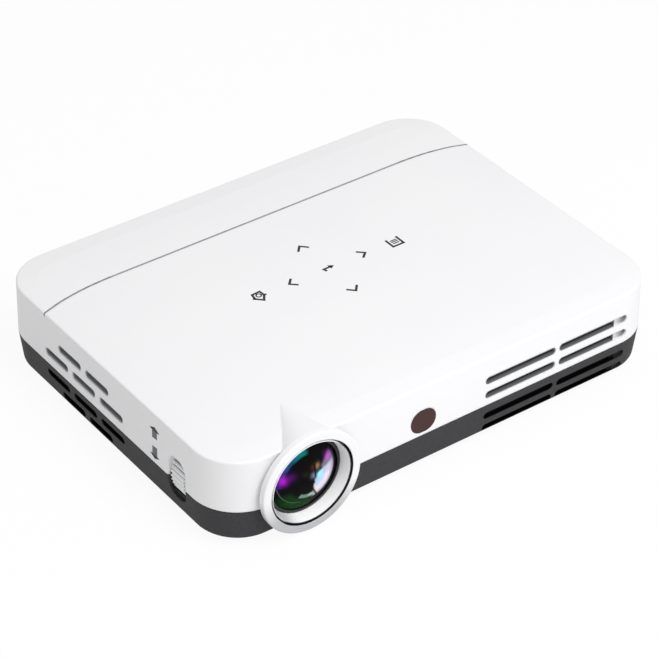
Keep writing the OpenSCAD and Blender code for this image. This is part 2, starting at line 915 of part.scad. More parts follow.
module lens_cell() {
    color([0.06, 0.06, 0.07])
        place()
            turned(cell_y)
                polygon([[front_lens_r, 0],
                         [cell_r, 0],
                         [cell_r, cell_neck - 8],
                         [sleeve_r, cell_neck],
                         [sleeve_r, cell_end],
                         [sleeve_bore_r + 0.5, cell_end],
                         [sleeve_bore_r + 0.5, cell_end - rear_lens_t],
                         [sleeve_bore_r - 0.6, cell_end - rear_lens_t],
                         [sleeve_bore_r - 0.6, cell_neck + 3],
                         [front_lens_r - 1.2, cell_seat + 1.5],
                         [front_lens_r - 1.2, cell_seat],
                         [front_lens_r, cell_seat]]);
}

// A lens of rim radius r: flat rim of thickness t, faces bulging by b0 and b1
module lens_solid(r, t, b0, b1) {
    ball0 = (r * r + b0 * b0) / (2 * b0);
    ball1 = (r * r + b1 * b1) / (2 * b1);
    intersection() {
        translate([0, 0, -b0])
            cylinder(r = r, h = t + b0 + b1);
        translate([0, 0, ball0 - b0])
            sphere(r = ball0, $fn = 240);
        translate([0, 0, t + b1 - ball1])
            sphere(r = ball1, $fn = 240);
    }
}

module front_lens() {
    color([0.2, 0.15, 0.35])
        place()
            translate([lens_x, cell_y + 0.5, lens_z])
                rotate([-90, 0, 0])
                    difference() {
                        intersection() {
                            translate([0, 0, -front_lens_bulge])
                                cylinder(r = front_lens_r,
                                         h = cell_seat - 0.5 + front_lens_bulge);
                            let (ball = (pow(front_lens_r, 2) + pow(front_lens_bulge, 2))
                                        / (2 * front_lens_bulge))
                                translate([0, 0, ball - front_lens_bulge])
                                    sphere(r = ball);
                        }
                        // Hollow inner face of the meniscus
                        translate([0, 0, cell_seat + 19])
                            sphere(r = 23);
                    }
}

module rear_lens() {
    color([0.75, 0.85, 0.9])
        place()
            translate([lens_x, cell_y + cell_end - rear_lens_t, lens_z])
                rotate([-90, 0, 0])
                    intersection() {
                        cylinder(r = sleeve_bore_r + 0.5, h = rear_lens_t);
                        translate([0, 0, rear_lens_t - 26])
                            sphere(r = 26);
                    }
}

// ---- Focus drive ----

// Side plate of the carrier: a disc round the sleeve and an eye for the axle
module carrier_plate() {
    translate([lens_x, lens_z])
        circle(r = plate_r);
    translate([wheel_x, wheel_z])
        circle(r = axle_eye_r);
    translate([wheel_x, wheel_z])
        rotate(mesh_angle)
            translate([0, -axle_eye_r + 0.7])
                square([gear_dist, 2 * axle_eye_r - 1.4]);
    translate([lens_x - 11, lens_z - plate_r - 2.2])
        square([22, plate_r]);
}

module lens_carrier() {
    color([0.12, 0.12, 0.13])
        place()
            difference() {
                union() {
                    along_y(carrier_front, plate_t)
                        carrier_plate();
                    along_y(carrier_back - plate_t, plate_t)
                        carrier_plate();
                    translate([lens_x - 11, carrier_front, lens_z - plate_r - 2.2])
                        cube([22, carrier_back - carrier_front, 2]);
                }
                bar_y(lens_x, carrier_front - 1, lens_z, sleeve_r + run_gap,
                      carrier_back - carrier_front + 2);
                bar_y(wheel_x, carrier_front - 1, wheel_z, axle_r,
                      carrier_back - carrier_front + 2);
            }
}

module focus_ring() {
    hub = wheel_w + 2 * move_gap - 0.3;
    color([0.9, 0.9, 0.88])
        place()
            difference() {
                union() {
                    along_y(wheel_y - wheel_w / 2 + 0.4, wheel_w - 0.8)
                        translate([lens_x, lens_z])
                            rotate(mesh_angle + 180 + 180 / ring_teeth)
                                polygon(gear_points(ring_teeth, 0.15));
                    bar_y(lens_x, wheel_y - hub / 2, lens_z, sleeve_r + 1.1, hub);
                }
                bar_y(lens_x, wheel_y - wheel_w, lens_z, sleeve_r + run_gap, 2 * wheel_w);
            }
}

module focus_wheel() {
    hub_r = 3.2;
    rim_r = wheel_pitch_r - 2.4;
    color([0.93, 0.93, 0.92])
        place()
            difference() {
                union() {
                    along_y(wheel_y - wheel_w / 2, wheel_w)
                        translate([wheel_x, wheel_z])
                            rotate(mesh_angle)
                                polygon(gear_points(wheel_teeth, 0.15));
                    bar_y(wheel_x, wheel_y - wheel_w / 2 - 0.25, wheel_z, hub_r,
                          wheel_w + 0.5);
                }
                bar_y(wheel_x, wheel_y - wheel_w, wheel_z, axle_r + run_gap, 2 * wheel_w);
                // Dished sides between hub and rim
                for (s = [-1, 1])
                    translate([wheel_x, wheel_y + s * wheel_w / 2, wheel_z])
                        rotate([90, 0, 0])
                            translate([0, 0, -1.7])
                                difference() {
                                    cylinder(r = rim_r, h = 3.4);
                                    translate([0, 0, -1])
                                        cylinder(r = hub_r, h = 6);
                                }
            }
}

module wheel_axle() {
    color([0.6, 0.6, 0.62])
        place()
            bar_y(wheel_x, carrier_front, wheel_z, axle_r, carrier_back - carrier_front);
}

// ---- Light engine ----

module engine_outline() {
    translate([lens_x - head_w / 2, engine_y])
        square([head_w, head_d]);
    translate([lens_x, arm_y - arm_d / 2])
        square([arm_end - lens_x, arm_d]);
}

module engine_hollow() {
    translate([lens_x - head_w / 2 + engine_wall, engine_y + engine_wall])
        square([head_w - 2 * engine_wall, head_d - 2 * engine_wall]);
    translate([lens_x, arm_y - arm_d / 2 + engine_wall])
        square([arm_end - lens_x - engine_wall, arm_d - 2 * engine_wall]);
}

module engine_housing() {
    color([0.35, 0.36, 0.38])
        place()
            difference() {
                translate([0, 0, engine_z])
                    linear_extrude(engine_top - engine_z)
                        engine_outline();
                translate([0, 0, optic_floor])
                    linear_extrude(engine_top)
                        engine_hollow();
                bar_y(lens_x, engine_y - 1, lens_z, sleeve_r + 0.6, engine_wall + 2);
                along_y(engine_y + head_d - engine_wall - 1, engine_wall + 2)
                    translate([lens_x, lens_z])
                        square(imager_window, center = true);
                for (x = led_x)
                    bar_y(x, arm_y - arm_d / 2 - 1, lens_z, led_hole_r, engine_wall + 2);
                translate([arm_end - engine_wall - 1, arm_y, lens_z])
                    rotate([0, 90, 0])
                        cylinder(r = led_hole_r, h = engine_wall + 2);
            }
}

module engine_lid() {
    color([0.3, 0.31, 0.33])
        place()
            translate([0, 0, engine_top])
                linear_extrude(lid_t)
                    engine_outline();
}

module prism() {
    color([0.8, 0.9, 0.95])
        place()
            translate([lens_x, arm_y, optic_floor])
                difference() {
                    block(2 * optic_half, 2 * optic_half, 2 * optic_half);
                    translate([0, 0, -1])
                        rotate([0, 0, 45])
                            block(0.2, 4 * optic_half, 4 * optic_half);
                }
}

module relay_lens() {
    color([0.8, 0.9, 0.95])
        place()
            translate([lens_x + 22.5, arm_y, lens_z])
                rotate([0, 90, 0])
                    lens_solid(optic_half, 1.5, 1.8, 1.8);
}

module integrator_plate() {
    color([0.8, 0.88, 0.9])
        place()
            translate([lens_x + 28, arm_y, optic_floor])
                block(2, 16, 2 * optic_half - 1);
}

module dichroic_plates() {
    color([0.6, 0.75, 0.9])
        place()
            for (x = led_x)
                translate([x, arm_y, optic_floor])
                    rotate([0, 0, -45])
                        block(1, 19, 2 * optic_half - 2);
}

module led_places() {
    for (x = led_x)
        translate([x, arm_y - arm_d / 2, lens_z])
            rotate([-90, 0, 0])
                children();
    translate([arm_end, arm_y, lens_z])
        rotate([0, -90, 0])
            children();
}

module collimator_lenses() {
    color([0.85, 0.9, 0.95])
        place()
            led_places()
                translate([0, 0, 1.2])
                    lens_solid(led_hole_r - 0.05, 1.6, 0.4, 2.4);
}

module led_modules() {
    color([0.72, 0.45, 0.25])
        place()
            led_places() {
                translate([0, 0, -led_plate_t])
                    block(led_plate, led_plate, led_plate_t);
                cylinder(r = 2.4, h = 0.5);
            }
}

module imager_chip() {
    color([0.5, 0.42, 0.4])
        place()
            translate([lens_x, engine_y + head_d + chip[1] / 2, lens_z - chip[2] / 2])
                block(chip[0], chip[1], chip[2]);
}

module imager_board() {
    color([0.1, 0.35, 0.2])
        place()
            difference() {
                translate([lens_x - 20, imager_y, floor_t + 3])
                    cube([44, board_t, 27]);
                // Window behind the chip for the heat sink's foot
                along_y(imager_y - 1, board_t + 2)
                    translate([lens_x, lens_z])
                        square([12, 8], center = true);
            }
}

module imager_heat_sink() {
    sink_y = imager_y + board_t;
    color([0.75, 0.76, 0.78])
        place() {
            translate([lens_x, sink_y + 1.25, 8])
                block(28, 2.5, 24);
            translate([lens_x, sink_y - board_t / 2 + 0.05, lens_z - 3.5])
                block(11, board_t + 0.1, 7);
            for (i = [-3:3])
                translate([lens_x + i * 4.4, sink_y + 6, 8])
                    block(1.2, 8, 24);
        }
}

// ---- Cooling ----

// A bend of a round pipe in the level plane, through 90 degrees
module pipe_bend(c, bend_r, start) {
    translate([c[0], c[1], 0])
        rotate([0, 0, start])
            rotate_extrude(angle = 90)
                translate([bend_r, 0])
                    circle(r = pipe_r);
}

module bar_x(x, y, r, len) {
    translate([x, y, 0])
        rotate([0, 90, 0])
            cylinder(r = r, h = len);
}

pipe_end = fin_x + (fin_count - 1) * fin_pitch + fin_t;
bend_a = (pipe_a_y - pipe_y) / 2;
bend_b = 8.8;
turn_x = fin_x - 4.6;

module upper_heat_pipe() {
    color([0.78, 0.5, 0.3])
        place()
            translate([0, 0, pipe_a_z]) {
                bar_x(led_x[0] - led_plate / 2, pipe_a_y, pipe_r,
                      turn_x - 2 * bend_a - led_x[0] + led_plate / 2);
                pipe_bend([turn_x - 2 * bend_a, pipe_a_y - bend_a], bend_a, 0);
                pipe_bend([turn_x, pipe_y + bend_a], bend_a, 180);
                bar_x(turn_x, pipe_y, pipe_r, pipe_end - turn_x);
            }
}

// The lower pipe's bend and its run back to the light source
module lower_pipe_turn() {
    pipe_bend([bend_b, bend_b], bend_b, 180);
    bar_y(0, bend_b, 0, pipe_r, arm_y + led_plate / 2 - pipe_y - bend_b);
}

module lower_heat_pipe() {
    color([0.78, 0.5, 0.3])
        place()
            translate([pipe_b_x, pipe_y, pipe_b_z]) {
                lower_pipe_turn();
                bar_x(bend_b, 0, pipe_r, pipe_end - pipe_b_x - bend_b);
            }
}

module fin_stack() {
    color([0.78, 0.79, 0.8])
        place()
            difference() {
                union() {
                    for (i = [0:fin_count - 1])
                        translate([fin_x + i * fin_pitch, fin_y, fin_z])
                            cube([fin_t, fin_d, fin_h]);
                    translate([fin_x, fin_y, fin_z])
                        cube([pipe_end - fin_x, fin_d, 1]);
                }
                for (z = [pipe_a_z, pipe_b_z])
                    translate([0, 0, z])
                        bar_x(fin_x - 1, pipe_y, pipe_r, pipe_end - fin_x + 2);
                translate([pipe_b_x, pipe_y, pipe_b_z])
                    lower_pipe_turn();
            }
}

module blower_housing() {
    color([0.14, 0.14, 0.15])
        place()
            translate([blower_x, blower_y, blower_z]) {
                difference() {
                    translate([-blower_w / 2, 0, 0])
                        cube([blower_w, blower_w, blower_h - 1.2]);
                    translate([0, impeller[1] - blower_y, blower_floor])
                        cylinder(r = impeller_r + blower_gap, h = blower_h);
                    translate([-impeller_r - blower_gap, -1, blower_floor])
                        cube([2 * (impeller_r + blower_gap),
                              impeller[1] - blower_y + 1, blower_h]);
                    translate([0, impeller[1] - blower_y, -1])
                        difference() {
                            cylinder(r = impeller_r - 4, h = blower_h);
                            translate([0, 0, -1])
                                cylinder(r = 8, h = blower_h + 2);
                            for (a = [0, 120, 240])
                                rotate([0, 0, a])
                                    translate([0, -1.5, -1])
                                        cube([impeller_r, 3, blower_h + 2]);
                        }
                }
                translate([0, impeller[1] - blower_y, blower_floor / 2])
                    cylinder(r = fan_pin_r, h = impeller_h - 1);
            }
}

module blower_cover() {
    color([0.14, 0.14, 0.15])
        place()
            translate([blower_x, blower_y, blower_z + blower_h - 1.2])
                difference() {
                    translate([-blower_w / 2, 0, 0])
                        cube([blower_w, blower_w, 1.2]);
                    translate([0, impeller[1] - blower_y, -1])
                        cylinder(r = impeller_r - 4, h = 4);
                }
}

// One forward-curved blade, from radius r0 to r1
module curved_blade(r0, r1, t) {
    bow = 5;
    polygon(concat(
        [for (i = [0:4]) let (r = r0 + (r1 - r0) * i / 4) [r, bow * pow(i / 4, 2)]],
        [for (i = [4:-1:0]) let (r = r0 + (r1 - r0) * i / 4)
            [r - t * i / 8, bow * pow(i / 4, 2) + t]]));
}

module blower_impeller() {
    z = blower_z + blower_floor + 0.8;
    color([0.2, 0.2, 0.21])
        place()
            translate([impeller[0], impeller[1], z])
                difference() {
                    union() {
                        cylinder(r = impeller_hub_r, h = impeller_h);
                        cylinder(r = impeller_r * 0.985, h = 1);
                        linear_extrude(impeller_h)
                            intersection() {
                                circle(r = impeller_r);
                                for (i = [0:20])
                                    rotate(i * 360 / 21)
                                        curved_blade(impeller_r * 0.68, impeller_r, 0.8);
                            }
                    }
                    translate([0, 0, -1])
                        cylinder(r = fan_pin_r + run_gap, h = impeller_h - 1);
                }
}

module side_fan_frame() {
    color([0.12, 0.12, 0.13])
        place()
            translate([side_fan_x, side_fan_y, side_fan_mid]) {
                difference() {
                    along_x(0, small_fan_t)
                        round_rect(small_fan, small_fan, 2);
                    rotate([0, 90, 0])
                        translate([0, 0, -1])
                            cylinder(r = side_rotor_r + 0.6, h = small_fan_t + 2);
                    for (sy = [-1, 1], sz = [-1, 1])
                        translate([-1, sy * (small_fan / 2 - 3), sz * (small_fan / 2 - 3)])
                            rotate([0, 90, 0])
                                cylinder(r = 1.5, h = small_fan_t + 2);
                }
                // Hub plate on three arms, on the inner side
                translate([small_fan_t - 1.5, 0, 0])
                    rotate([0, 90, 0])
                        cylinder(r = 5.5, h = 1.5);
                for (a = [30, 150, 270])
                    rotate([a, 0, 0])
                        translate([small_fan_t - 1.5, -1, 4])
                            cube([1.5, 2, side_rotor_r - 2.6]);
                translate([1.5, 0, 0])
                    rotate([0, 90, 0])
                        cylinder(r = 1, h = small_fan_t - 2);
            }
}

module side_fan_rotor() {
    depth = small_fan_t - 2.4;
    color([0.18, 0.18, 0.19])
        place()
            translate([side_fan_x + 0.4, side_fan_y, side_fan_mid])
                difference() {
                    union() {
                        rotate([0, 90, 0])
                            cylinder(r = 5.5, h = depth);
                        intersection() {
                            rotate([0, 90, 0])
                                cylinder(r = side_rotor_r, h = depth);
                            for (i = [0:6])
                                rotate([i * 360 / 7, 0, 0])
                                    translate([depth / 2, 0, 4.5])
                                        rotate([0, 0, 48])
                                            translate([-0.5, -5, 0])
                                                cube([1, 10, side_rotor_r]);
                        }
                    }
                    translate([0.8, 0, 0])
                        rotate([0, 90, 0])
                            cylinder(r = 1 + run_gap, h = depth);
                }
}

// ---- Boards, battery and sound ----

// Clearance holes for the small screws of a board
module screw_holes(places) {
    for (p = places)
        translate([p[0], p[1], board_z - 1])
            cylinder(r = pilot_r + 0.2, h = board_t + 2);
}

// A chip package of width w, depth d and height h on the boards' upper face
module package(x, y, w, d, h) {
    translate([x, y, board_top])
        block(w, d, h);
}

module main_board() {
    color([0.1, 0.32, 0.22])
        place() {
            difference() {
                translate([board_x - board_w / 2, board_front, board_z])
                    cube([board_w, board_d, board_t]);
                screw_holes(board_posts);
            }
            package(board_x - 8, board_front + 24, 18, 18, 1.6);
            package(board_x + 16, board_front + 22, 12, 9, 1.2);
            package(board_x + 16, board_front + 34, 12, 9, 1.2);
            package(board_x - 32, board_front + 22, 10, 10, 1);
            package(board_x + 40, board_front + 20, 14, 10, 5);
            for (i = [0:3])
                translate([board_x - 44 + i * 7, board_front + 36, board_top])
                    cylinder(r = 2.6, h = 6.5);
            // Sockets for the ribbon and the fan leads
            package(touch_at[0], board_front + 10, 15, 4, 2);
            package(board_x + 30, board_front + 5, 8, 5, 4);
            package(board_x - 38, board_front + 5, 8, 5, 4);
        }
}

module power_board() {
    color([0.1, 0.32, 0.22])
        place() {
            difference() {
                translate([power_x - power_w / 2, board_back - power_d, board_z])
                    cube([power_w, power_d, board_t]);
                screw_holes(power_posts);
            }
            translate([power_x - 5, board_back - power_d + 16, board_top])
                cylinder(r = 4, h = 8);
            package(power_x + 6, board_back - power_d + 17, 10, 10, 5);
            package(power_x, board_back - power_d + 3, 10, 4, 4);
        }
}

module wireless_board() {
    color([0.12, 0.2, 0.4])
        place() {
            difference() {
                translate([wifi_at[0], wifi_at[1], board_z])
                    block(wifi[0], wifi[1], board_t);
                screw_holes(wifi_posts);
            }
            package(wifi_at[0], wifi_at[1] - 4, 11, 9, 1.8);
        }
}

module battery_pack() {
    color([0.2, 0.3, 0.55])
        place()
            translate([board_x, battery_y + battery_d / 2, battery_z])
                for (s = [-1, 1])
                    translate([s * (battery_w / 4 - 0.05), 0, 0])
                        along_x(-battery_w / 4 + 0.05, battery_w / 2)
                            translate([0, battery_t / 2])
                                round_rect(battery_d, battery_t, 2.5);
}

module speaker() {
    color([0.25, 0.25, 0.26])
        place()
            translate(speaker_at)
                rotate([0, 90, 0])
                    difference() {
                        union() {
                            translate([0, 0, speaker_h * 2 / 3])
                                cylinder(r = speaker_r, h = speaker_h / 3);
                            cylinder(r = speaker_r * 0.72, h = speaker_h);
                        }
                        // Hollow of the cone, facing the side vents
                        translate([0, 0, speaker_h / 2])
                            cylinder(r1 = speaker_r * 0.3, r2 = speaker_r * 0.85,
                                     h = speaker_h / 2 + 0.5);
                    }
}

module touch_board() {
    color([0.1, 0.3, 0.2])
        place()
            translate([touch_at[0], touch_at[1], touch_z]) {
                linear_extrude(touch_t)
                    round_rect(touch[0], touch[1], 3);
                translate([0, touch[1] / 2 - 12, -1])
                    block(6, 6, 1);
                translate([0, touch[1] / 2 - 4, -1.5])
                    block(14, 4, 1.5);
            }
}

module touch_ribbon() {
    y0 = touch_at[1] + touch[1] / 2 - 2;
    y1 = board_front + 12;
    z0 = touch_z - 1.5;
    z1 = board_top + 1;
    color([0.85, 0.85, 0.8])
        place()
            along_x(touch_at[0] - 6, 12)
                polygon([[y0, z0],
                         [y0 + 3, z0],
                         [y0 + 6, z0 - 3],
                         [y1 + 4, z1 + 3],
                         [y1 + 2, z1],
                         [y1, z1],
                         [y1, z1 + 0.3],
                         [y1 + 1.8, z1 + 0.3],
                         [y1 + 3.6, z1 + 3],
                         [y0 + 5.6, z0 - 2.9],
                         [y0 + 2.9, z0 - 0.3],
                         [y0, z0 - 0.3]]);
}

module ir_window() {
    color([0.25, 0.06, 0.06])
        place() {
            along_y(front_y, wall_t + cover_inset + 0.1)
                translate([ir_at[0], ir_at[1]])
                    slot_shape(ir_w, ir_h);
            along_y(front_y + wall_t + cover_inset, 1)
                translate([ir_at[0], ir_at[1]])
                    slot_shape(ir_w + 3, ir_h + 2);
        }
}

module ir_board() {
    color([0.1, 0.3, 0.2])
        place() {
            translate([ir_at[0], ir_board_y + ir_board_t / 2, floor_t + 1])
                block(14, ir_board_t, ir_at[1] + 5 - floor_t);
            // Receiver with its round front
            translate([ir_at[0], ir_board_y - 1.4, ir_at[1] - 3])
                block(5, 2.8, 6);
            bar_y(ir_at[0], ir_board_y - 3.4, ir_at[1], 2.2, 2.2);
        }
}

// ---- Sockets and power button ----

module hdmi_socket() {
    color([0.7, 0.7, 0.72])
        place()
            translate([hdmi_x, 0, board_top]) {
                difference() {
                    along_y(socket_face - 11.5, 11.5)
                        polygon([[-7.2, 1.8], [-5.6, 0], [5.6, 0], [7.2, 1.8],
                                 [7.2, 5.6], [-7.2, 5.6]]);
                    along_y(socket_face - 9, 10)
                        polygon([[-6.8, 2], [-5.4, 0.4], [5.4, 0.4], [6.8, 2],
                                 [6.8, 5.2], [-6.8, 5.2]]);
                }
                translate([-5, socket_face - 10, 2.5])
                    cube([10, 8, 0.9]);
            }
}

module usb_sockets() {
    color([0.7, 0.7, 0.72])
        place()
            for (x = usb_x)
                translate([x, 0, board_top]) {
                    difference() {
                        translate([-6.6, socket_face - 14, 0])
                            cube([13.2, 14, 7]);
                        translate([-6.2, socket_face - 12, 0.9])
                            cube([12.4, 13, 5.2]);
                    }
                    translate([-5.5, socket_face - 13, 4])
                        cube([11, 11, 1.6]);
                }
}

module card_socket() {
    color([0.7, 0.7, 0.72])
        place()
            translate([card_x, 0, board_top])
                difference() {
                    translate([-7, socket_face - 15, 0])
                        cube([14, 15, 1.8]);
                    translate([-5.6, socket_face - 13, 0.5])
                        cube([11.2, 14, 0.8]);
                }
}

module audio_jack() {
    color([0.1, 0.1, 0.1])
        place()
            difference() {
                union() {
                    translate([audio_x - 3.2, socket_face - 13, board_top])
                        cube([6.4, 11, 6.2]);
                    bar_y(audio_x, socket_face - 3, audio_z, 3, 3);
                }
                bar_y(audio_x, socket_face - 12, audio_z, audio_bore_r, 13);
            }
}

module dc_jack() {
    color([0.1, 0.1, 0.1])
        place() {
            difference() {
                union() {
                    translate([dc_x - 4.5, socket_face - 13, board_top])
                        cube([9, 11, 10.6]);
                    bar_y(dc_x, socket_face - 3, dc_z, 4.3, 3);
                }
                bar_y(dc_x, socket_face - 10, dc_z, dc_bore_r, 11);
            }
            bar_y(dc_x, socket_face - 11, dc_z, 1, 10);
        }
}

module power_button() {
    color([0.9, 0.9, 0.9])
        place() {
            bar_y(button_x, button_flange_y - button_flange_t, button_z, button_flange_r,
                  button_flange_t);
            bar_y(button_x, button_flange_y - 0.1, button_z, button_r,
                  back_y - button_flange_y);
        }
}

module button_switch() {
    stem = 1.2;
    stem_y = button_flange_y - button_flange_t - button_travel - 0.1;
    color([0.2, 0.2, 0.2])
        place() {
            translate([button_x, stem_y - stem - 2, board_top])
                block(6, 4, 8);
            bar_y(button_x, stem_y - stem - 0.1, button_z, 1.6, stem + 0.1);
        }
}

module board_screws() {
    color([0.6, 0.6, 0.62])
        place()
            for (p = small_posts)
                translate([p[0], p[1], board_top])
                    screw(2, 1.2, pilot_r, board_t + 4);
}

base_shell();
top_cover();
lens_ring();
lens_bezel();
lens_cell();
front_lens();
rear_lens();
lens_carrier();
focus_ring();
focus_wheel();
wheel_axle();
engine_housing();
engine_lid();
prism();
relay_lens();
integrator_plate();
dichroic_plates();
collimator_lenses();
led_modules();
imager_chip();
imager_board();
imager_heat_sink();
upper_heat_pipe();
lower_heat_pipe();
fin_stack();
blower_housing();
blower_cover();
blower_impeller();
side_fan_frame();
side_fan_rotor();
main_board();
power_board();
wireless_board();
battery_pack();
speaker();
touch_board();
touch_ribbon();
ir_window();
ir_board();
hdmi_socket();
usb_sockets();
audio_jack();
card_socket();
dc_jack();
power_button();
button_switch();
tripod_insert();
rubber_feet();
base_screws();
board_screws();
vent_inserts();
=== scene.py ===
import math

import bpy
import numpy as np
from mathutils import Matrix, Vector


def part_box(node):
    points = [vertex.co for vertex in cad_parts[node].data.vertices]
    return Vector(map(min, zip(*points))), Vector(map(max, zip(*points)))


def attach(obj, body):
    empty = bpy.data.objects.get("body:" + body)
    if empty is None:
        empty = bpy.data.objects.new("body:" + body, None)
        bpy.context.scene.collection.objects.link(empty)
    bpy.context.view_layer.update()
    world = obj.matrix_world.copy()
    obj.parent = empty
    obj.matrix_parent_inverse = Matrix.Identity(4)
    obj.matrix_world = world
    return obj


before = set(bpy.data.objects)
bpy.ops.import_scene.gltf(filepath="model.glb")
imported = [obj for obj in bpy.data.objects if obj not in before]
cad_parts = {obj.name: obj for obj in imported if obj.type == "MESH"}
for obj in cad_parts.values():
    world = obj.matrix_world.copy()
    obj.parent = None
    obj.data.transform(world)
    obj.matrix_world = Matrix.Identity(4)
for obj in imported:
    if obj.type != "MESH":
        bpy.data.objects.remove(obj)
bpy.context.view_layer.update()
print("stage: frame loaded,", len(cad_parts), "nodes")

mm = 0.001
# the case as the frame holds it, in metres: its outline seen from above, its levels, how far the cover's wall
# leans in for its height, and the line in front of which a place belongs to the front wall
caseLook = {"halfWidth": 107.5 * mm, "halfDepth": 81.0 * mm, "middleY": 2.1 * mm, "corner": 20.4 * mm,
            "underside": 3.0 * mm, "seam": 17.8 * mm, "topLevel": 41.8 * mm, "wallLean": 0.5 / 23.2,
            "frontY": -60.0 * mm}


def middle(node):
    # the middle of a node's box
    low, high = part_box(node)
    return [(a + b) / 2 for a, b in zip(low, high)]


lensX, lensY, lensZ = middle("lens_ring")
wheelX, wheelY, wheelZ = middle("focus_wheel")
buttonX, buttonY, buttonZ = middle("power_button")


def ink(code):
    # the linear colour of a web colour such as "8899aa", by the sRGB curve
    part = np.array([int(code[i:i + 2], 16) / 255 for i in (0, 2, 4)])
    line = np.where(part <= 0.04045, part / 12.92, ((part + 0.055) / 1.055) ** 2.4)
    return (float(line[0]), float(line[1]), float(line[2]), 1.0)


class Value:
    # one socket of a node tree; sums and products on it add Math nodes
    def __init__(self, recipe, socket):
        self.recipe = recipe
        self.socket = socket

    def maths(self, operation, *terms):
        return self.recipe.node("ShaderNodeMath", {"operation": operation}, dict(enumerate(terms)))

    def __add__(self, other):
        return self.maths("ADD", self, other)

    def __radd__(self, other):
        return self.maths("ADD", other, self)

    def __sub__(self, other):
        return self.maths("SUBTRACT", self, other)

    def __rsub__(self, other):
        return self.maths("SUBTRACT", other, self)

    def __mul__(self, other):
        return self.maths("MULTIPLY", self, other)

    def __rmul__(self, other):
        return self.maths("MULTIPLY", other, self)

    def __truediv__(self, other):
        return self.maths("DIVIDE", self, other)

    def __rtruediv__(self, other):
        return self.maths("DIVIDE", other, self)

    def __pow__(self, other):
        return self.maths("POWER", self, other)

    def __rpow__(self, other):
        return self.maths("POWER", other, self)

    def __abs__(self):
        return self.maths("ABSOLUTE", self)

    def __gt__(self, other):
        return self.maths("GREATER_THAN", self, other)

    def __lt__(self, other):
        return self.maths("LESS_THAN", self, other)

    def larger(self, other):
        return self.maths("MAXIMUM", self, other)

    def smaller(self, other):
        return self.maths("MINIMUM", self, other)

    def sine(self):
        return self.maths("SINE", self)

    def distance(self, other):
        # the length of the flat vector (self, other)
        return (self * self + other * other) ** 0.5

    def angleOver(self, other):
        # the angle of the flat vector (other, self), in radians
        return self.maths("ARCTAN2", self, other)


class Recipe:
    # a node tree being made, a new material's or the world's: every node of it comes from node()
    def __init__(self, name, world=None):
        self.holder = world or bpy.data.materials.new(name)
        self.holder.use_nodes = True
        self.tree = self.holder.node_tree
        self.tree.nodes.clear()
        self.place = None if world else self.node("ShaderNodeTexCoord", output="Object")

    def node(self, kind, settings=None, sockets=None, output=0):
        made = self.tree.nodes.new(kind)
        for key, value in (settings or {}).items():
            if key == "stops":
                stops = made.color_ramp.elements
                while len(stops) < len(value):
                    stops.new(1.0)
                for stop, (at, colour) in zip(stops, value):
                    stop.position = at
                    stop.color = colour
            else:
                setattr(made, key, value)
        for key, value in (sockets or {}).items():
            if isinstance(value, Value):
                self.tree.links.new(value.socket, made.inputs[key])
            else:
                made.inputs[key].default_value = value
        return Value(self, made.outputs[output]) if len(made.outputs) else None

    def outputs(self, value, *names):
        # several outputs of the node that a value comes from
        return [Value(self, value.socket.node.outputs[name]) for name in names]

    def axes(self):
        return self.outputs(self.node("ShaderNodeSeparateXYZ", None, {0: self.place}), 0, 1, 2)

    def noise(self, scale, detail=2.0, rough=0.5, stretch=None):
        where = self.place
        if stretch:
            where = self.node("ShaderNodeVectorMath", {"operation": "MULTIPLY"}, {0: self.place, 1: stretch})
        return self.noiseAt(where, scale, detail, rough)

    def noiseAt(self, where, scale, detail, rough):
        return self.node("ShaderNodeTexNoise", None,
                         {"Vector": where, "Scale": scale, "Detail": detail, "Roughness": rough}, "Fac")

    def cells(self, scale, feature="F1", output="Distance"):
        return self.node("ShaderNodeTexVoronoi", {"feature": feature}, {"Vector": self.place, "Scale": scale}, output)

    def fit(self, value, low, high):
        # value carried from low..high onto 0..1, with soft ends
        return self.node("ShaderNodeMapRange", {"interpolation_type": "SMOOTHSTEP"},
                         {"Value": value, "From Min": low, "From Max": high})

    def band(self, value, low, high, soft):
        # 1 between low and high, 0 outside, with ends of width soft
        return self.fit(value, low - soft, low) * (1 - self.fit(value, high, high + soft))

    def blend(self, factor, first, second):
        return self.node("ShaderNodeMix", {"data_type": "RGBA"}, {0: factor, 6: first, 7: second}, 2)

    def ramp(self, value, *stops):
        return self.node("ShaderNodeValToRGB", {"stops": stops}, {0: value}, "Color")

    def softEdge(self, radius):
        # the normal of the surface as if its edges had this radius
        return self.node("ShaderNodeBevel", {"samples": 4}, {"Radius": radius})

    def bump(self, height, distance, under=None):
        sockets = {"Height": height, "Distance": distance}
        if under:
            sockets["Normal"] = under
        return self.node("ShaderNodeBump", None, sockets)

    def shown(self):
        # 1 for a ray that shows a thing as it is: from the camera, in gloss or through glass
        path = self.node("ShaderNodeLightPath")
        camera, gloss, through = self.outputs(path, "Is Camera Ray", "Is Glossy Ray", "Is Transmission Ray")
        return camera.larger(gloss).larger(through)

    def finish(self, colour, roughness, **others):
        # the shader itself; names such as coatWeight stand for its sockets
        names = {"metallic": "Metallic", "normal": "Normal", "coatWeight": "Coat Weight",
                 "coatRoughness": "Coat Roughness", "specular": "Specular IOR Level", "ior": "IOR",
                 "transmission": "Transmission Weight"}
        sockets = {"Base Color": colour, "Roughness": roughness}
        sockets.update({names[key]: value for key, value in others.items()})
        return self.close(self.node("ShaderNodeBsdfPrincipled", None, sockets))

    def close(self, shader, kind="ShaderNodeOutputMaterial"):
        self.node(kind, None, {"Surface": shader})
        return self.holder


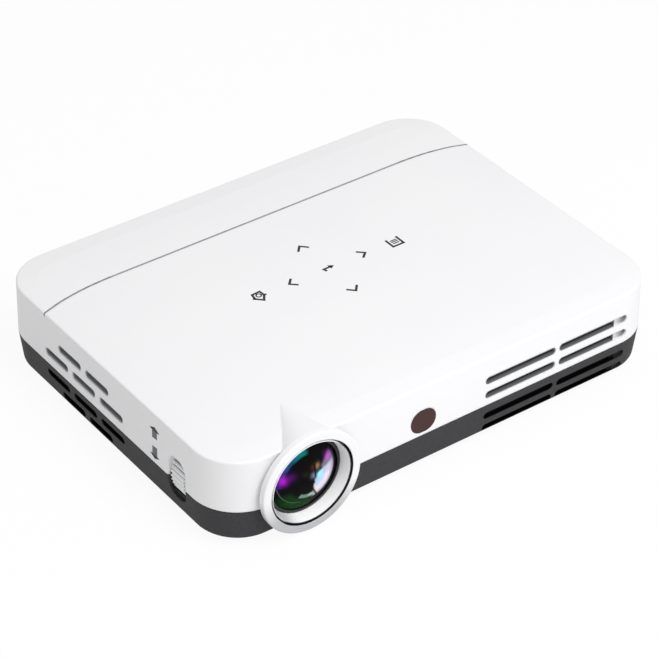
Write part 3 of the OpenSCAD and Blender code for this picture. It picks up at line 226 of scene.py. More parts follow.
def wallDepth(x, y):
    # how far a place lies inside the case's rounded outline, seen from above
    dx = abs(x) - (caseLook["halfWidth"] - caseLook["corner"])
    dy = abs(y - caseLook["middleY"]) - (caseLook["halfDepth"] - caseLook["corner"])
    return caseLook["corner"] - dx.larger(0.0).distance(dy.larger(0.0)) - dx.larger(dy).smaller(0.0)


mouldedLook = {"drift": 18.0, "rubScale": 60.0, "pitLow": 0.36, "pitHigh": 0.5}


def moulded(name, look):
    # satin moulded plastic: spark-eroded grain, slow drift of colour, rubbed patches a little glossier
    r = Recipe(name)
    grain = r.noise(look["grain"], detail=3.0, rough=0.6)
    colour = r.blend(r.noise(mouldedLook["drift"]), look["colour"], look["shade"])
    if "speck" in look:  # the grain's own pits show as darker specks
        pits = 1 - r.fit(grain, mouldedLook["pitLow"], mouldedLook["pitHigh"])
        colour = r.blend(pits * look["speck"], colour, look["speckColour"])
    for paint in look.get("paints", []):
        colour = paint(r, colour)
    rough = look["rough"] + (r.noise(mouldedLook["rubScale"], detail=4.0, rough=0.6) - 0.5) * look["rub"]
    under = r.softEdge(look["edge"]) if "edge" in look else None
    return r.finish(colour, rough, normal=r.bump(grain, look["depth"], under), specular=look.get("specular", 0.5),
                    coatWeight=look.get("coat", 0.0), coatRoughness=look.get("coatRough", 0.2))


# the groove on the top: where it runs, and the dark grey of its painted shade
grooveShadeLook = {"straight": 72.0 * mm, "y": 51.3 * mm, "bend": 129.0 * mm, "half": 0.36 * mm, "soft": 0.1 * mm,
              "level": 39.5 * mm, "dark": 0.8, "colour": ink("4c4d50")}


def grooveShadePaint(r, colour):
    # the groove is a straight line that turns into an arc at each end: distance to that line, with a dark grey
    # painted inside it as the groove's shade
    x, y, z = r.axes()
    past = (abs(x) - grooveShadeLook["straight"]).larger(0.0)
    level = y - (grooveShadeLook["y"] - grooveShadeLook["bend"])
    away = abs(past.distance(level) - grooveShadeLook["bend"])
    line = 1 - r.fit(away, grooveShadeLook["half"], grooveShadeLook["half"] + grooveShadeLook["soft"])
    return r.blend(line * (z > grooveShadeLook["level"]) * grooveShadeLook["dark"], colour, grooveShadeLook["colour"])


# the painted shade in the closed ends of the cover's front slots
blindShadeLook = {"from": 83.2 * mm, "to": 88.6 * mm, "depth": 0.5 * mm, "soft": 0.5 * mm, "below": 36.0 * mm,
             "colour": ink("77787b"), "share": 0.8}


def blindShadePaint(r, colour):
    # painted shade in the closed ends of the cover's front slots: pale beside the opening, grey towards the round end
    x, y, z = r.axes()
    sunk = r.fit(wallDepth(x, y), blindShadeLook["depth"], blindShadeLook["depth"] + blindShadeLook["soft"])
    front = sunk * (y < caseLook["frontY"]) * (z < blindShadeLook["below"])
    return r.blend(r.fit(x, blindShadeLook["from"], blindShadeLook["to"]) * front * blindShadeLook["share"], colour,
                   blindShadeLook["colour"])


# painted shade inside the base's slots: lean is how far the base's wall stands in for its height, edgeTop and
# edgeCurve its rounding at the foot
slotShadeLook = {"from": 0.14 * mm, "to": 0.42 * mm, "floor": 0.5 * mm, "lean": 0.106, "edgeTop": 4.6 * mm,
            "edgeCurve": 860.0, "closedX": 84.5 * mm, "closedSoft": 1.5 * mm, "closedShare": 0.5,
            "pocketX": -98.0 * mm, "pocketLow": -66.0 * mm, "pocketHigh": -33.0 * mm, "colour": ink("040404")}


def slotShadePaint(r, colour):
    # painted shade in the base's slots: black inside and dark grey at their closed ends; the finger pocket keeps its
    # colour
    x, y, z = r.axes()
    low = (slotShadeLook["edgeTop"] - z).larger(0.0)
    face = (caseLook["seam"] - z) * slotShadeLook["lean"] + low * low * slotShadeLook["edgeCurve"]
    inside = r.fit(wallDepth(x, y) - face, slotShadeLook["from"], slotShadeLook["to"])
    above = z > caseLook["underside"] + slotShadeLook["floor"]
    pocket = (x < slotShadeLook["pocketX"]) * (y > slotShadeLook["pocketLow"]) * (y < slotShadeLook["pocketHigh"])
    closed = r.fit(x, slotShadeLook["closedX"], slotShadeLook["closedX"] + slotShadeLook["closedSoft"]) * (y < caseLook["frontY"])
    slotShade = inside * above * (1 - pocket) * (1 - closed * slotShadeLook["closedShare"])
    return r.blend(slotShade, colour, slotShadeLook["colour"])


coverLook = {"colour": ink("f2f2f3"), "shade": ink("eeeef0"), "grain": 3800.0, "depth": 0.00007,
             "rough": 0.5, "rub": 0.12, "specular": 0.3, "edge": 0.9 * mm, "paints": [grooveShadePaint, blindShadePaint]}
baseLook = {"colour": ink("424244"), "shade": ink("3b3b3d"), "speckColour": ink("202021"), "speck": 0.5,
            "grain": 2100.0, "depth": 0.00012, "rough": 0.5, "rub": 0.12, "specular": 0.0, "coat": 0.3,
            "coatRough": 0.45, "edge": 0.5 * mm, "paints": [slotShadePaint]}


def insertShadePaint(r, colour):
    # the front inserts' sills catch light near the wall and are painted black behind it as shade; the side ones are
    # painted a paler grey, as painted light, with no painted shade
    x, y, z = r.axes()
    side = abs(x) > insertLook["sideX"]
    shadeDepth = r.fit(wallDepth(x, y), insertLook["lit"], insertLook["lit"] + insertLook["litSoft"])
    colour = r.blend(side, colour, insertLook["side"])
    return r.blend(shadeDepth * (1 - side), colour, insertLook["black"])


# the inserts: the black behind the front wall is painted shade, and the paler grey of the side ones is painted light
insertLook = {"colour": ink("707173"), "shade": ink("66676a"), "grain": 2600.0, "depth": 0.00008,
              "rough": 0.55, "rub": 0.1, "specular": 0.25, "lit": 2.05 * mm, "litSoft": 0.4 * mm,
              "black": ink("030303"), "sideX": 100.0 * mm, "side": ink("939496"), "paints": [insertShadePaint]}


def ribPaint(r, colour):
    # the wheel's grooves hold shade: dark below the rib tops, by distance from the wheel's axis
    x, y, z = r.axes()
    out = (x - wheelX).distance(z - wheelZ)
    low = 1 - r.fit(out, wheelLook["root"], wheelLook["tip"])
    return r.blend(low * wheelLook["shadeShare"] * (out > wheelLook["face"]), colour, wheelLook["groove"])


wheelLook = {"colour": ink("ffffff"), "shade": ink("fafbfc"), "grain": 3800.0, "depth": 0.00004,
             "rough": 0.34, "rub": 0.1, "root": 11.9 * mm, "tip": 12.3 * mm, "face": 11.4 * mm,
             "shadeShare": 0.85, "groove": ink("4a4b4e"), "paints": [ribPaint]}

buttonLook = {"inner": 1.35 * mm, "outer": 1.7 * mm, "soft": 0.05 * mm, "gap": 0.55 * mm, "bar": 0.18 * mm,
              "barLow": 0.25 * mm, "barHigh": 2.0 * mm, "faceY": 82.5 * mm, "share": 0.9, "ink": ink("5b5d61")}


def powerPaint(r, colour):
    # the generic power symbol: an open circle and an upright bar
    x, y, z = r.axes()
    dx, dz = x - buttonX, z - buttonZ
    opening = (abs(dx) < buttonLook["gap"]) * (dz > 0.0)
    circle = r.band(dx.distance(dz), buttonLook["inner"], buttonLook["outer"], buttonLook["soft"]) * (1 - opening)
    bar = (abs(dx) < buttonLook["bar"]) * (dz > buttonLook["barLow"]) * (dz < buttonLook["barHigh"])
    mark = circle.larger(bar) * (y > buttonLook["faceY"])
    return r.blend(mark * buttonLook["share"], colour, buttonLook["ink"])


# plain mouldings
blackLook = {"colour": ink("1b1b1d"), "shade": ink("161617"), "grain": 2600.0, "depth": 0.00008,
             "rough": 0.5, "rub": 0.15}
windowLook = {"colour": ink("432523"), "shade": ink("371c1b"), "grain": 500.0, "depth": 0.00001,
              "rough": 0.25, "rub": 0.04, "specular": 0.22}
chipLook = {"colour": ink("9c9a92"), "shade": ink("8c8a82"), "grain": 2600.0, "depth": 0.00003,
            "rough": 0.4, "rub": 0.1}
batteryLook = {"colour": ink("2f4f8f"), "shade": ink("284480"), "grain": 500.0, "depth": 0.0001,
               "rough": 0.3, "rub": 0.2, "coat": 0.4}
ribbonLook = {"colour": ink("b9772a"), "shade": ink("a5661f"), "grain": 500.0, "depth": 0.00003,
              "rough": 0.3, "rub": 0.1}

footLook = {"x": 87.0 * mm, "y": 61.0 * mm, "pitch": 0.9 * mm, "colour": ink("242425"), "shade": ink("1d1d1e"),
            "grain": 1400.0, "drift": 90.0, "ringShare": 0.35, "grainShare": 0.5, "depth": 0.00025,
            "rough": 0.82, "rub": 0.12, "specular": 0.3}


def footRubber():
    # rubber feet: fine moulded rings round each foot's own middle, a sine of the distance from it
    r = Recipe("footRubber")
    x, y, z = r.axes()
    out = (abs(x) - footLook["x"]).distance(abs(y - caseLook["middleY"]) - footLook["y"])
    rings = (out * (2 * math.pi / footLook["pitch"])).sine()
    grain = r.noise(footLook["grain"], detail=3.0, rough=0.6)
    colour = r.blend(r.noise(footLook["drift"]), footLook["colour"], footLook["shade"])
    rough = footLook["rough"] + (grain - 0.5) * footLook["rub"]
    height = rings * footLook["ringShare"] + grain * footLook["grainShare"]
    return r.finish(colour, rough, normal=r.bump(height, footLook["depth"]), specular=footLook["specular"])


# lens trim: gapFrom and gapTo are radii, and the angles of low and gap run anticlockwise from the right, in degrees;
# low is a painted shade on the face, gap a painted shadow
ringLook = {"colour": ink("f6f6f7"), "shade": ink("f0f0f2"), "fleckColour": ink("c2c3c6"), "fleck": 0.12,
            "lines": 3200.0, "grain": 4200.0, "lineShare": 0.35, "depth": 0.00006, "rough": 0.42, "spread": 0.2,
            "metallic": 0.08, "gapFrom": 17.0 * mm, "gapTo": 18.85 * mm, "low": ink("8f9094"), "lowShadeShare": 0.72,
            "lowFrom": -135.0, "lowTo": -62.0, "lowSoft": 50.0, "shadeFleck": 0.5}
bezelLook = {"colour": ink("ffffff"), "shade": ink("fbfbfc"), "fleckColour": ink("e8e8ea"), "fleck": 0.05,
             "lines": 4200.0, "grain": 6000.0, "lineShare": 0.8, "depth": 0.00002, "rough": 0.4, "spread": 0.1,
             "metallic": 0.0, "gapFrom": 17.8 * mm, "gapTo": 19.0 * mm, "low": ink("b4b5b8"), "lowShadeShare": 0.75,
             "lowFrom": -184.0, "lowTo": -132.0, "lowSoft": 28.0, "shadeFleck": 0.1}
turnedLook = {"drift": 70.0, "fleckLow": 0.35, "fleckHigh": 0.65, "gapSoft": 0.04 * mm, "gapStart": -128.0,
              "gapEnd": 40.0, "gapFade": 14.0, "gap": ink("0a0a0b")}


def turned(name, look):
    # satin trim turned about the lens axis: fine circular lines, flecks, a greyer lower part painted as shade with
    # more flecks in it, and a painted black shadow in the lower half of the gap between bezel and ring
    r = Recipe(name)
    x, y, z = r.axes()
    dx, dz = x - lensX, z - lensZ
    out, turn = dx.distance(dz), dz.angleOver(dx) * (180 / math.pi)
    place = r.node("ShaderNodeCombineXYZ", None, {0: out, 1: y})
    lines = r.noiseAt(place, look["lines"], detail=3.0, rough=0.6)
    speck = r.noise(look["grain"])
    # a painted shade greys this stretch of the face and adds flecks there
    low = r.band(turn, look["lowFrom"], look["lowTo"], look["lowSoft"])
    colour = r.blend(r.noise(turnedLook["drift"]), look["colour"], look["shade"])
    colour = r.blend(low.smaller(1.0) * look["lowShadeShare"], colour, look["low"])
    fleck = r.fit(speck, turnedLook["fleckLow"], turnedLook["fleckHigh"]) * (look["fleck"] + low * look["shadeFleck"])
    colour = r.blend(fleck.smaller(1.0), colour, look["fleckColour"])
    # a painted shadow in the gap between bezel and ring
    gap = r.band(out, look["gapFrom"], look["gapTo"], turnedLook["gapSoft"])
    gap = gap * r.band(turn, turnedLook["gapStart"], turnedLook["gapEnd"], turnedLook["gapFade"])
    colour = r.blend(gap, colour, turnedLook["gap"])
    rough = look["rough"] + (lines - 0.5) * look["spread"]
    height = lines * look["lineShare"] + speck * (1 - look["lineShare"])
    return r.finish(colour, rough, metallic=look["metallic"], normal=r.bump(height, look["depth"]))


sheetLook = {"stain": 120.0, "stainLow": 0.35, "stainHigh": 0.7, "stainRough": 0.18, "lineRough": 0.1}
steelLook = {"colour": ink("c9ccd0"), "shade": ink("b4b7bb"), "lines": 900.0, "stretch": (0.1, 1.0, 1.0),
             "rough": 0.28, "depth": 0.00001}
copperLook = {"colour": ink("c9794e"), "shade": ink("9e5a3a"), "lines": 700.0, "stretch": (0.2, 0.2, 1.0),
              "rough": 0.32, "depth": 0.00001}
aluminiumLook = {"colour": ink("dcdfe2"), "shade": ink("c6c9cd"), "lines": 900.0, "stretch": (1.0, 0.1, 0.3),
                 "rough": 0.34, "depth": 0.00001}
castLook = {"colour": ink("8d9196"), "shade": ink("777b80"), "lines": 1200.0, "stretch": (1.0, 1.0, 1.0),
            "rough": 0.5, "depth": 0.00006}


def sheetMetal(name, look):
    # rolled or drawn metal: long lines along one axis, stains and fingerprints in the roughness
    r = Recipe(name)
    lines = r.noise(look["lines"], stretch=look["stretch"])
    stain = r.noise(sheetLook["stain"], detail=3.0, rough=0.6)
    colour = r.blend(r.fit(stain, sheetLook["stainLow"], sheetLook["stainHigh"]), look["colour"], look["shade"])
    metallic = 1.0
    if "paint" in look:  # the paint returns the colour and the share of it that isn't metal
        colour, cover = look["paint"](r, colour)
        metallic = 1 - cover
    rough = look["rough"] + (stain - 0.5) * sheetLook["stainRough"] + (lines - 0.5) * sheetLook["lineRough"]
    return r.finish(colour, rough, metallic=metallic, normal=r.bump(lines, look["depth"]))


socketLook = {"mouth": 80.6 * mm, "plastic": ink("101012"), "contact": ink("c8a24a"), "contactPitch": 2.1 * mm,
              "contactEdge": 0.1, "contactHigh": 0.1 * mm}
usbTongue = {"middles": (13.9 * mm, -3.1 * mm), "half": 5.55 * mm, "low": 26.5 * mm, "high": 28.3 * mm}
hdmiTongue = {"middles": (32.0 * mm,), "half": 5.05 * mm, "low": 25.0 * mm, "high": 26.1 * mm}


def tonguePaint(look):
    # the black tongue inside a socket with its row of gilt contacts, a comb cut from a sine
    def paint(r, colour):
        x, y, z = r.axes()
        near = abs(x - look["middles"][0])
        for other in look["middles"][1:]:
            near = near.smaller(abs(x - other))
        tongue = (near < look["half"]) * (z > look["low"]) * (z < look["high"]) * (y < socketLook["mouth"])
        comb = (near * (2 * math.pi / socketLook["contactPitch"])).sine() > socketLook["contactEdge"]
        gilt = comb * (z < look["low"] + socketLook["contactHigh"])
        return r.blend(tongue, colour, r.blend(gilt, socketLook["plastic"], socketLook["contact"])), tongue
    return paint


# the screw heads' cross recesses, painted near-black as shade
crossLook = {"x": 95.0 * mm, "y": 68.0 * mm, "head": 4.35 * mm, "arm": 1.5 * mm, "half": 0.34 * mm,
             "recessShade": ink("08080a"), "metal": ink("8b8d91")}


def crossShadePaint(r, colour):
    # the cross recess in each base screw's head, painted near-black as the shade in it
    x, y, z = r.axes()
    dx = abs(abs(x) - crossLook["x"])
    dy = abs(abs(y - caseLook["middleY"]) - crossLook["y"])
    across = (dx < crossLook["arm"]) * (dy < crossLook["half"])
    bars = across.larger((dx < crossLook["half"]) * (dy < crossLook["arm"]))
    cross = bars * (z < crossLook["head"])
    return r.blend(cross, colour, crossLook["recessShade"]), cross


threadLook = {"x": 15.0 * mm, "y": 5.1 * mm, "pitch": 1.27 * mm, "boreFrom": 2.8 * mm, "boreTo": 3.0 * mm,
              "stain": 300.0, "colour": ink("d8b461"), "shade": ink("b8924a"), "root": ink("4f3b17"),
              "rootHigh": 0.3, "rootLow": -0.6, "rough": 0.28, "stainRough": 0.15, "stainShare": 0.2, "depth": 0.0003}


def brassThread():
    # the insert's inner thread: a helix, height plus turns of the angle, as a bump, with painted shade darkening its
    # roots
    r = Recipe("brassThread")
    x, y, z = r.axes()
    dx, dy = x - threadLook["x"], y - threadLook["y"]
    helix = (z * (2 * math.pi / threadLook["pitch"]) + dy.angleOver(dx)).sine()
    bore = 1 - r.fit(dx.distance(dy), threadLook["boreFrom"], threadLook["boreTo"])
    stain = r.noise(threadLook["stain"], detail=3.0, rough=0.6)
    colour = r.blend(stain, threadLook["colour"], threadLook["shade"])
    # painted shade: the thread's roots are darker
    colour = r.blend(bore * r.fit(helix, threadLook["rootHigh"], threadLook["rootLow"]), colour, threadLook["root"])
    height = helix * bore + stain * threadLook["stainShare"]
    return r.finish(colour, threadLook["rough"] + stain * threadLook["stainRough"], metallic=1.0,
                    normal=r.bump(height, threadLook["depth"]))


boardLook = {"mask": ink("0f4a2c"), "copperUnder": ink("1c6a3f"), "gap": ink("0a331f"), "pad": ink("c9b37a"),
             "chip": ink("1a1a1c"), "can": ink("b9bcc0"), "tracks": 420.0, "vias": 520.0, "parts": 140.0,
             "copperLow": 0.2, "copperHigh": 0.8, "lineLow": 0.03, "lineHigh": 0.07, "lineShare": 0.8,
             "viaLow": 0.10, "viaHigh": 0.16, "chipShare": 0.6, "canShare": 0.65, "grain": 900.0, "fine": 3000.0,
             "rough": 0.32, "partRough": 0.25, "grainRough": 0.1, "lineDepth": -0.4, "fineDepth": 0.3,
             "depth": 0.00006, "coat": 0.2}
# the level above which a board's parts stand; a board on edge has none
boardTops = {"main_board": 22.65, "power_board": 22.65, "wireless_board": 22.65, "imager_board": 99.0,
             "touch_board": 99.0, "ir_board": 99.0}


def circuitBoard(name, top):
    # solder mask over copper tracks, pale pads; above the level top stand black chips and steel cans
    r, look = Recipe(name), boardLook
    x, y, z = r.axes()
    level = r.node("ShaderNodeSeparateColor", None, {0: r.cells(look["tracks"], "F1", "Color")}, 0)
    line = 1 - r.fit(r.cells(look["tracks"], "DISTANCE_TO_EDGE"), look["lineLow"], look["lineHigh"])
    mask = r.blend(r.fit(level, look["copperLow"], look["copperHigh"]), look["mask"], look["copperUnder"])
    mask = r.blend(line * look["lineShare"], mask, look["gap"])
    mask = r.blend(1 - r.fit(r.cells(look["vias"]), look["viaLow"], look["viaHigh"]), mask, look["pad"])
    tone = r.node("ShaderNodeSeparateColor", None, {0: r.cells(look["parts"], "F1", "Color")}, 1)
    parts = r.ramp(tone, (0.0, look["chip"]), (look["chipShare"], look["chip"]),
                   (look["canShare"], look["can"]), (1.0, look["can"]))
    above = z > top
    rough = look["rough"] + above * look["partRough"] + (r.noise(look["grain"]) - 0.5) * look["grainRough"]
    height = line * look["lineDepth"] + r.noise(look["fine"]) * look["fineDepth"]
    return r.finish(r.blend(above, mask, parts), rough, normal=r.bump(height, look["depth"]),
                    coatWeight=look["coat"])


glassLook = {"dust": 1500.0, "dustLow": 0.62, "dustHigh": 0.75, "rough": 0.02, "dustRough": 0.1, "ior": 1.52,
             "wave": 25.0, "depth": 0.00002}
clearLook = {"colour": ink("f4f8f8"), "clear": 0.95}
dichroicLook = {"colour": ink("d9a0e8"), "clear": 0.85}


def clearGlass(name, look):
    # polished glass with faint dust in its gloss
    r = Recipe(name)
    dust = r.fit(r.noise(glassLook["dust"], detail=3.0), glassLook["dustLow"], glassLook["dustHigh"])
    return r.finish(look["colour"], glassLook["rough"] + dust * glassLook["dustRough"], transmission=look["clear"],
                    ior=glassLook["ior"], normal=r.bump(r.noise(glassLook["wave"]), glassLook["depth"]))


# the front lens's painted view, in shares of the glass's radius: u to the right, v up, seen from the front; its
# coloured zones are painted reflections
lensPaintLook = {
    "radius": 15.2 * mm,
    # arcs of painted reflection: middle u and v, from and to angle and softness of the ends in degrees, inner and
    # outer radius, softness of the rims, share, colour
    "arcs": [(0.0, 0.0, -150, -92, 18, 0.62, 0.96, 0.12, 0.9, "06340c"),
             (0.0, 0.0, 96, 114, 12, 0.79, 0.90, 0.08, 0.85, "0c8a86"),
             (0.0, 0.0, 116, 138, 10, 0.80, 0.92, 0.08, 0.75, "1d5a8c"),
             (0.0, 0.0, 138, 158, 10, 0.80, 0.94, 0.08, 0.7, "2c3f94"),
             (0.0, 0.0, 156, 178, 10, 0.82, 0.95, 0.08, 0.7, "3a2080"),
             (0.10, 0.10, -82, 6, 13, 0.28, 0.66, 0.08, 0.88, "d3c4d8"),
             (0.10, 0.10, -74, 0, 20, 0.36, 0.54, 0.12, 0.75, "f4f0fb"),
             (0.10, 0.10, -70, 8, 16, 0.18, 0.34, 0.12, 0.85, "b8d6f6"),
             (0.10, 0.10, -4, 26, 20, 0.36, 0.68, 0.10, 0.45, "a7a3c0"),
             (0.0, 0.0, -123, -80, 6, 0.45, 0.52, 0.05, 0.7, "86ab9f")],
    # spots of painted reflection: middle u and v, half widths, share, colour
    "reflectionSpots": [(-0.55, -0.60, 0.22, 0.12, 0.6, "0f4a12"),
              (-0.73, 0.23, 0.11, 0.13, 1.0, "b01fd2"),
              (-0.54, 0.28, 0.14, 0.11, 0.5, "5e1480"),
              (0.05, -0.47, 0.08, 0.05, 0.6, "d0ece4"),
              (0.63, 0.41, 0.10, 0.10, 0.95, "c24fd0"),
              (0.52, 0.54, 0.08, 0.06, 0.5, "4a1654"),
              (0.24, 0.34, 0.07, 0.08, 0.65, "b28a62"),
              (0.10, 0.36, 0.07, 0.08, 0.7, "4d2a16"),
              (-0.14, 0.25, 0.09, 0.08, 0.6, "2c1e14"),
              (0.10, 0.13, 0.08, 0.08, 0.7, "7f90aa"),
              (0.29, 0.05, 0.08, 0.10, 0.95, "9ff0ff")],
    # dark bars across the painted reflections: direction across the bar, from and to along it, low and high v
    "bars": [(0.88, 0.47, -0.085, -0.045, -0.60, -0.14), (1.0, 0.0, 0.135, 0.165, 0.08, 0.42)],
    "barSoft": 0.02, "barFade": 0.03, "barShare": 0.85,
    # a thin painted highlight near the rim that winds in by lineWind a degree
    "lineInner": 0.87, "lineOuter": 0.885, "lineSoft": 0.012, "lineWind": 0.0028, "lineStart": -178, "lineEnd": -118,
    "lineFade": 12, "lineShare": 0.4, "line": ink("777c8c"),
    "drift": 200.0, "dark": ink("030304"), "shade": ink("050406"), "rough": 0.06, "coat": 0.12, "coatRough": 0.03}


def paintedLensView():
    # the front lens: the black barrel seen through coated glass, painted on it as shade, with the coatings' coloured
    # zones painted on it as reflections
    r = Recipe("lensPaintedReflections")
    x, y, z = r.axes()
    u, v = (x - lensX) / lensPaintLook["radius"], (z - lensZ) / lensPaintLook["radius"]

    def ringPart(u0, v0, low, high, soft, inner, outer, edge):
        # a stretch of a ring between two angles and two radii
        du, dv = u - u0, v - v0
        return (r.band(dv.angleOver(du) * (180 / math.pi), low, high, soft)
                * r.band(du.distance(dv), inner, outer, edge))

    # the black of the barrel behind the glass, painted as shade
    colour = r.blend(r.noise(lensPaintLook["drift"]), lensPaintLook["dark"], lensPaintLook["shade"])
    for *shape, share, code in lensPaintLook["arcs"]:
        colour = r.blend(ringPart(*shape) * share, colour, ink(code))
    for u0, v0, wide, high, share, code in lensPaintLook["reflectionSpots"]:
        # a round spot of painted reflection that falls off as e to the minus distance squared
        du, dv = (u - u0) / wide, (v - v0) / high
        colour = r.blend(math.e ** ((du * du + dv * dv) * -1.0) * share, colour, ink(code))
    for along, up, low, high, foot, top in lensPaintLook["bars"]:
        bar = r.band(u * along + v * up, low, high, lensPaintLook["barSoft"]) * r.band(v, foot, top, lensPaintLook["barFade"])
        colour = r.blend(bar * lensPaintLook["barShare"], colour, lensPaintLook["dark"])
    turn = v.angleOver(u) * (180 / math.pi)
    wound = u.distance(v) + (turn + 180) * lensPaintLook["lineWind"]
    line = (r.band(wound, lensPaintLook["lineInner"], lensPaintLook["lineOuter"], lensPaintLook["lineSoft"])
            * r.band(turn, lensPaintLook["lineStart"], lensPaintLook["lineEnd"], lensPaintLook["lineFade"]))
    colour = r.blend(line * lensPaintLook["lineShare"], colour, lensPaintLook["line"])
    return r.finish(colour, lensPaintLook["rough"], specular=0.0, coatWeight=lensPaintLook["coat"],
                    coatRoughness=lensPaintLook["coatRough"])


print("stage: recipes")

stageLook = {"floorDrop": 0.03 * mm, "floorSize": 6.0, "floorColour": ink("f6f6f6"), "whiteShare": 0.93,
             "ambient": 0.53, "keyPower": 7.6, "keyFrom": (0.08, -0.62, 0.9), "keySize": 0.6,
             "aim": (0.0, 0.0, 0.02), "white": (1, 1, 1, 1)}


def paleFloor():
    # a square just below the feet, so that their faces stay clear of it; whiteShare of it is plain white
    # where it is seen, and the rest keeps the object's shadow
    half, drop = stageLook["floorSize"] / 2, -stageLook["floorDrop"]
    corners = [(-half, -half, drop), (half, -half, drop), (half, half, drop), (-half, half, drop)]
    mesh = bpy.data.meshes.new("floor")
    mesh.from_pydata(corners, [], [(0, 1, 2, 3)])
    floor = bpy.data.objects.new("floor", mesh)
    bpy.context.scene.collection.objects.link(floor)
    r = Recipe("paleFloor")
    plain = r.node("ShaderNodeBsdfDiffuse", None, {"Color": stageLook["floorColour"]})
    white = r.node("ShaderNodeEmission", None, {"Color": stageLook["white"], "Strength": 1.0})
    mixed = r.node("ShaderNodeMixShader", None, {0: r.shown() * stageLook["whiteShare"], 1: plain, 2: white})
    mesh.materials.append(r.close(mixed))


def softWorld():
    # white wherever it is seen, directly or in gloss and glass, and a plain level for all other light
    bpy.context.scene.world = bpy.data.worlds.new("studio")
    r = Recipe("studio", bpy.context.scene.world)
    strength = stageLook["ambient"] + r.shown() * (1 - stageLook["ambient"])
    sky = r.node("ShaderNodeBackground", None, {"Color": stageLook["white"], "Strength": strength})
    r.close(sky, "ShaderNodeOutputWorld")


def keyLamp():
    # one round soft lamp, high in front of the object and turned to it
    data = bpy.data.lights.new("key", "AREA")
    data.shape = "DISK"
    data.size = stageLook["keySize"]
    data.energy = stageLook["keyPower"]
    lamp = bpy.data.objects.new("key", data)
    bpy.context.scene.collection.objects.link(lamp)
    lamp.location = stageLook["keyFrom"]
    aim = Vector(stageLook["aim"]) - lamp.location
    lamp.rotation_euler = aim.to_track_quat("-Z", "Y").to_euler()


cameraLook = {"focal": 142.64, "sensor": 36.0, "near": 0.01, "far": 20.0, "at": (-0.51085, -0.68948, 0.64535),
              "right": (0.8043, -0.5942, 0.0088), "forward": (0.4789, 0.6483, -0.5920)}


def viewCamera():
    # the camera's axes: forward as given, right made square to it, and up square to both
    data = bpy.data.cameras.new("view")
    data.lens = cameraLook["focal"]
    data.sensor_width = cameraLook["sensor"]
    data.sensor_fit = "HORIZONTAL"
    data.clip_start, data.clip_end = cameraLook["near"], cameraLook["far"]
    camera = bpy.data.objects.new("view", data)
    bpy.context.scene.collection.objects.link(camera)
    forward = np.array(cameraLook["forward"])
    forward = forward / np.linalg.norm(forward)
    right = np.array(cameraLook["right"])
    right = right - forward * (right @ forward)
    right = right / np.linalg.norm(right)
    turn = np.eye(4)
    turn[:3, 0], turn[:3, 1], turn[:3, 2] = right, np.cross(right, forward), -forward
    turn[:3, 3] = cameraLook["at"]
    camera.matrix_world = Matrix(turn.tolist())
    bpy.context.scene.camera = camera


bpy.context.scene.view_settings.view_transform = "Standard"
paleFloor()
softWorld()
keyLamp()
viewCamera()
print("stage: floor, lamp and camera")


def dress(material, *names):
    # the nodes named get this material in place of their own
    for name in names:
        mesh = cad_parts[name].data
        mesh.materials.clear()
        mesh.materials.append(material)


dress(moulded("satinWhiteShell", coverLook), "top_cover")
dress(moulded("darkShell", baseLook), "base_shell")
dress(moulded("insertPlastic", insertLook), "vent_inserts")
dress(turned("satinRing", ringLook), "lens_ring")
dress(turned("brightBezel", bezelLook), "lens_bezel")
dress(moulded("ribbedWheel", wheelLook), "focus_wheel")
dress(footRubber(), "rubber_feet")
dress(paintedLensView(), "front_lens")
dress(moulded("blackPlastic", blackLook), "lens_cell", "lens_carrier", "focus_ring", "blower_housing",
      "blower_cover", "blower_impeller", "side_fan_frame", "side_fan_rotor", "speaker", "audio_jack", "dc_jack",
      "button_switch")
dress(sheetMetal("drawnSteel", steelLook), "wheel_axle", "card_socket", "board_screws")
dress(sheetMetal("usbShell", {**steelLook, "paint": tonguePaint(usbTongue)}), "usb_sockets")
dress(sheetMetal("hdmiShell", {**steelLook, "paint": tonguePaint(hdmiTongue)}), "hdmi_socket")
dress(sheetMetal("screwHeads", {**steelLook, "colour": crossLook["metal"], "paint": crossShadePaint}), "base_screws")
dress(sheetMetal("copperPipe", copperLook), "upper_heat_pipe", "lower_heat_pipe")
dress(sheetMetal("ledCopper", {**copperLook, "colour": ink("c98a5e"), "stretch": (1.0, 1.0, 0.2)}), "led_modules")
dress(sheetMetal("rolledAluminium", aluminiumLook), "fin_stack", "imager_heat_sink")
dress(sheetMetal("castMetal", castLook), "engine_housing", "engine_lid")
dress(brassThread(), "tripod_insert")
dress(clearGlass("polishedGlass", clearLook),
      "rear_lens", "prism", "relay_lens", "collimator_lenses", "integrator_plate")
dress(clearGlass("dichroicGlass", dichroicLook), "dichroic_plates")
for name, level in boardTops.items():
    dress(circuitBoard(name + "Finish", level * mm), name)
dress(moulded("ceramicChip", chipLook), "imager_chip")
dress(moulded("batteryWrap", batteryLook), "battery_pack")
dress(moulded("amberRibbon", ribbonLook), "touch_ribbon")
dress(moulded("darkRedWindow", windowLook), "ir_window")
dress(moulded("buttonPlastic", {**coverLook, "rough": 0.35, "paints": [powerPaint]}), "power_button")
print("stage: CAD finishes")


def gridFaces(rows, columns, closed=False):
    # the quads between neighbours on a grid of points whose last column meets the first, as one array;
    # where it is closed the last row meets the first too
    here = np.arange(rows * columns).reshape(rows, columns)
    ahead = np.roll(here, -1, axis=0)
    quads = np.stack([here, np.roll(here, -1, axis=1), np.roll(ahead, -1, axis=1), ahead], axis=-1)
    return (quads if closed else quads[:-1]).reshape(-1, 4)


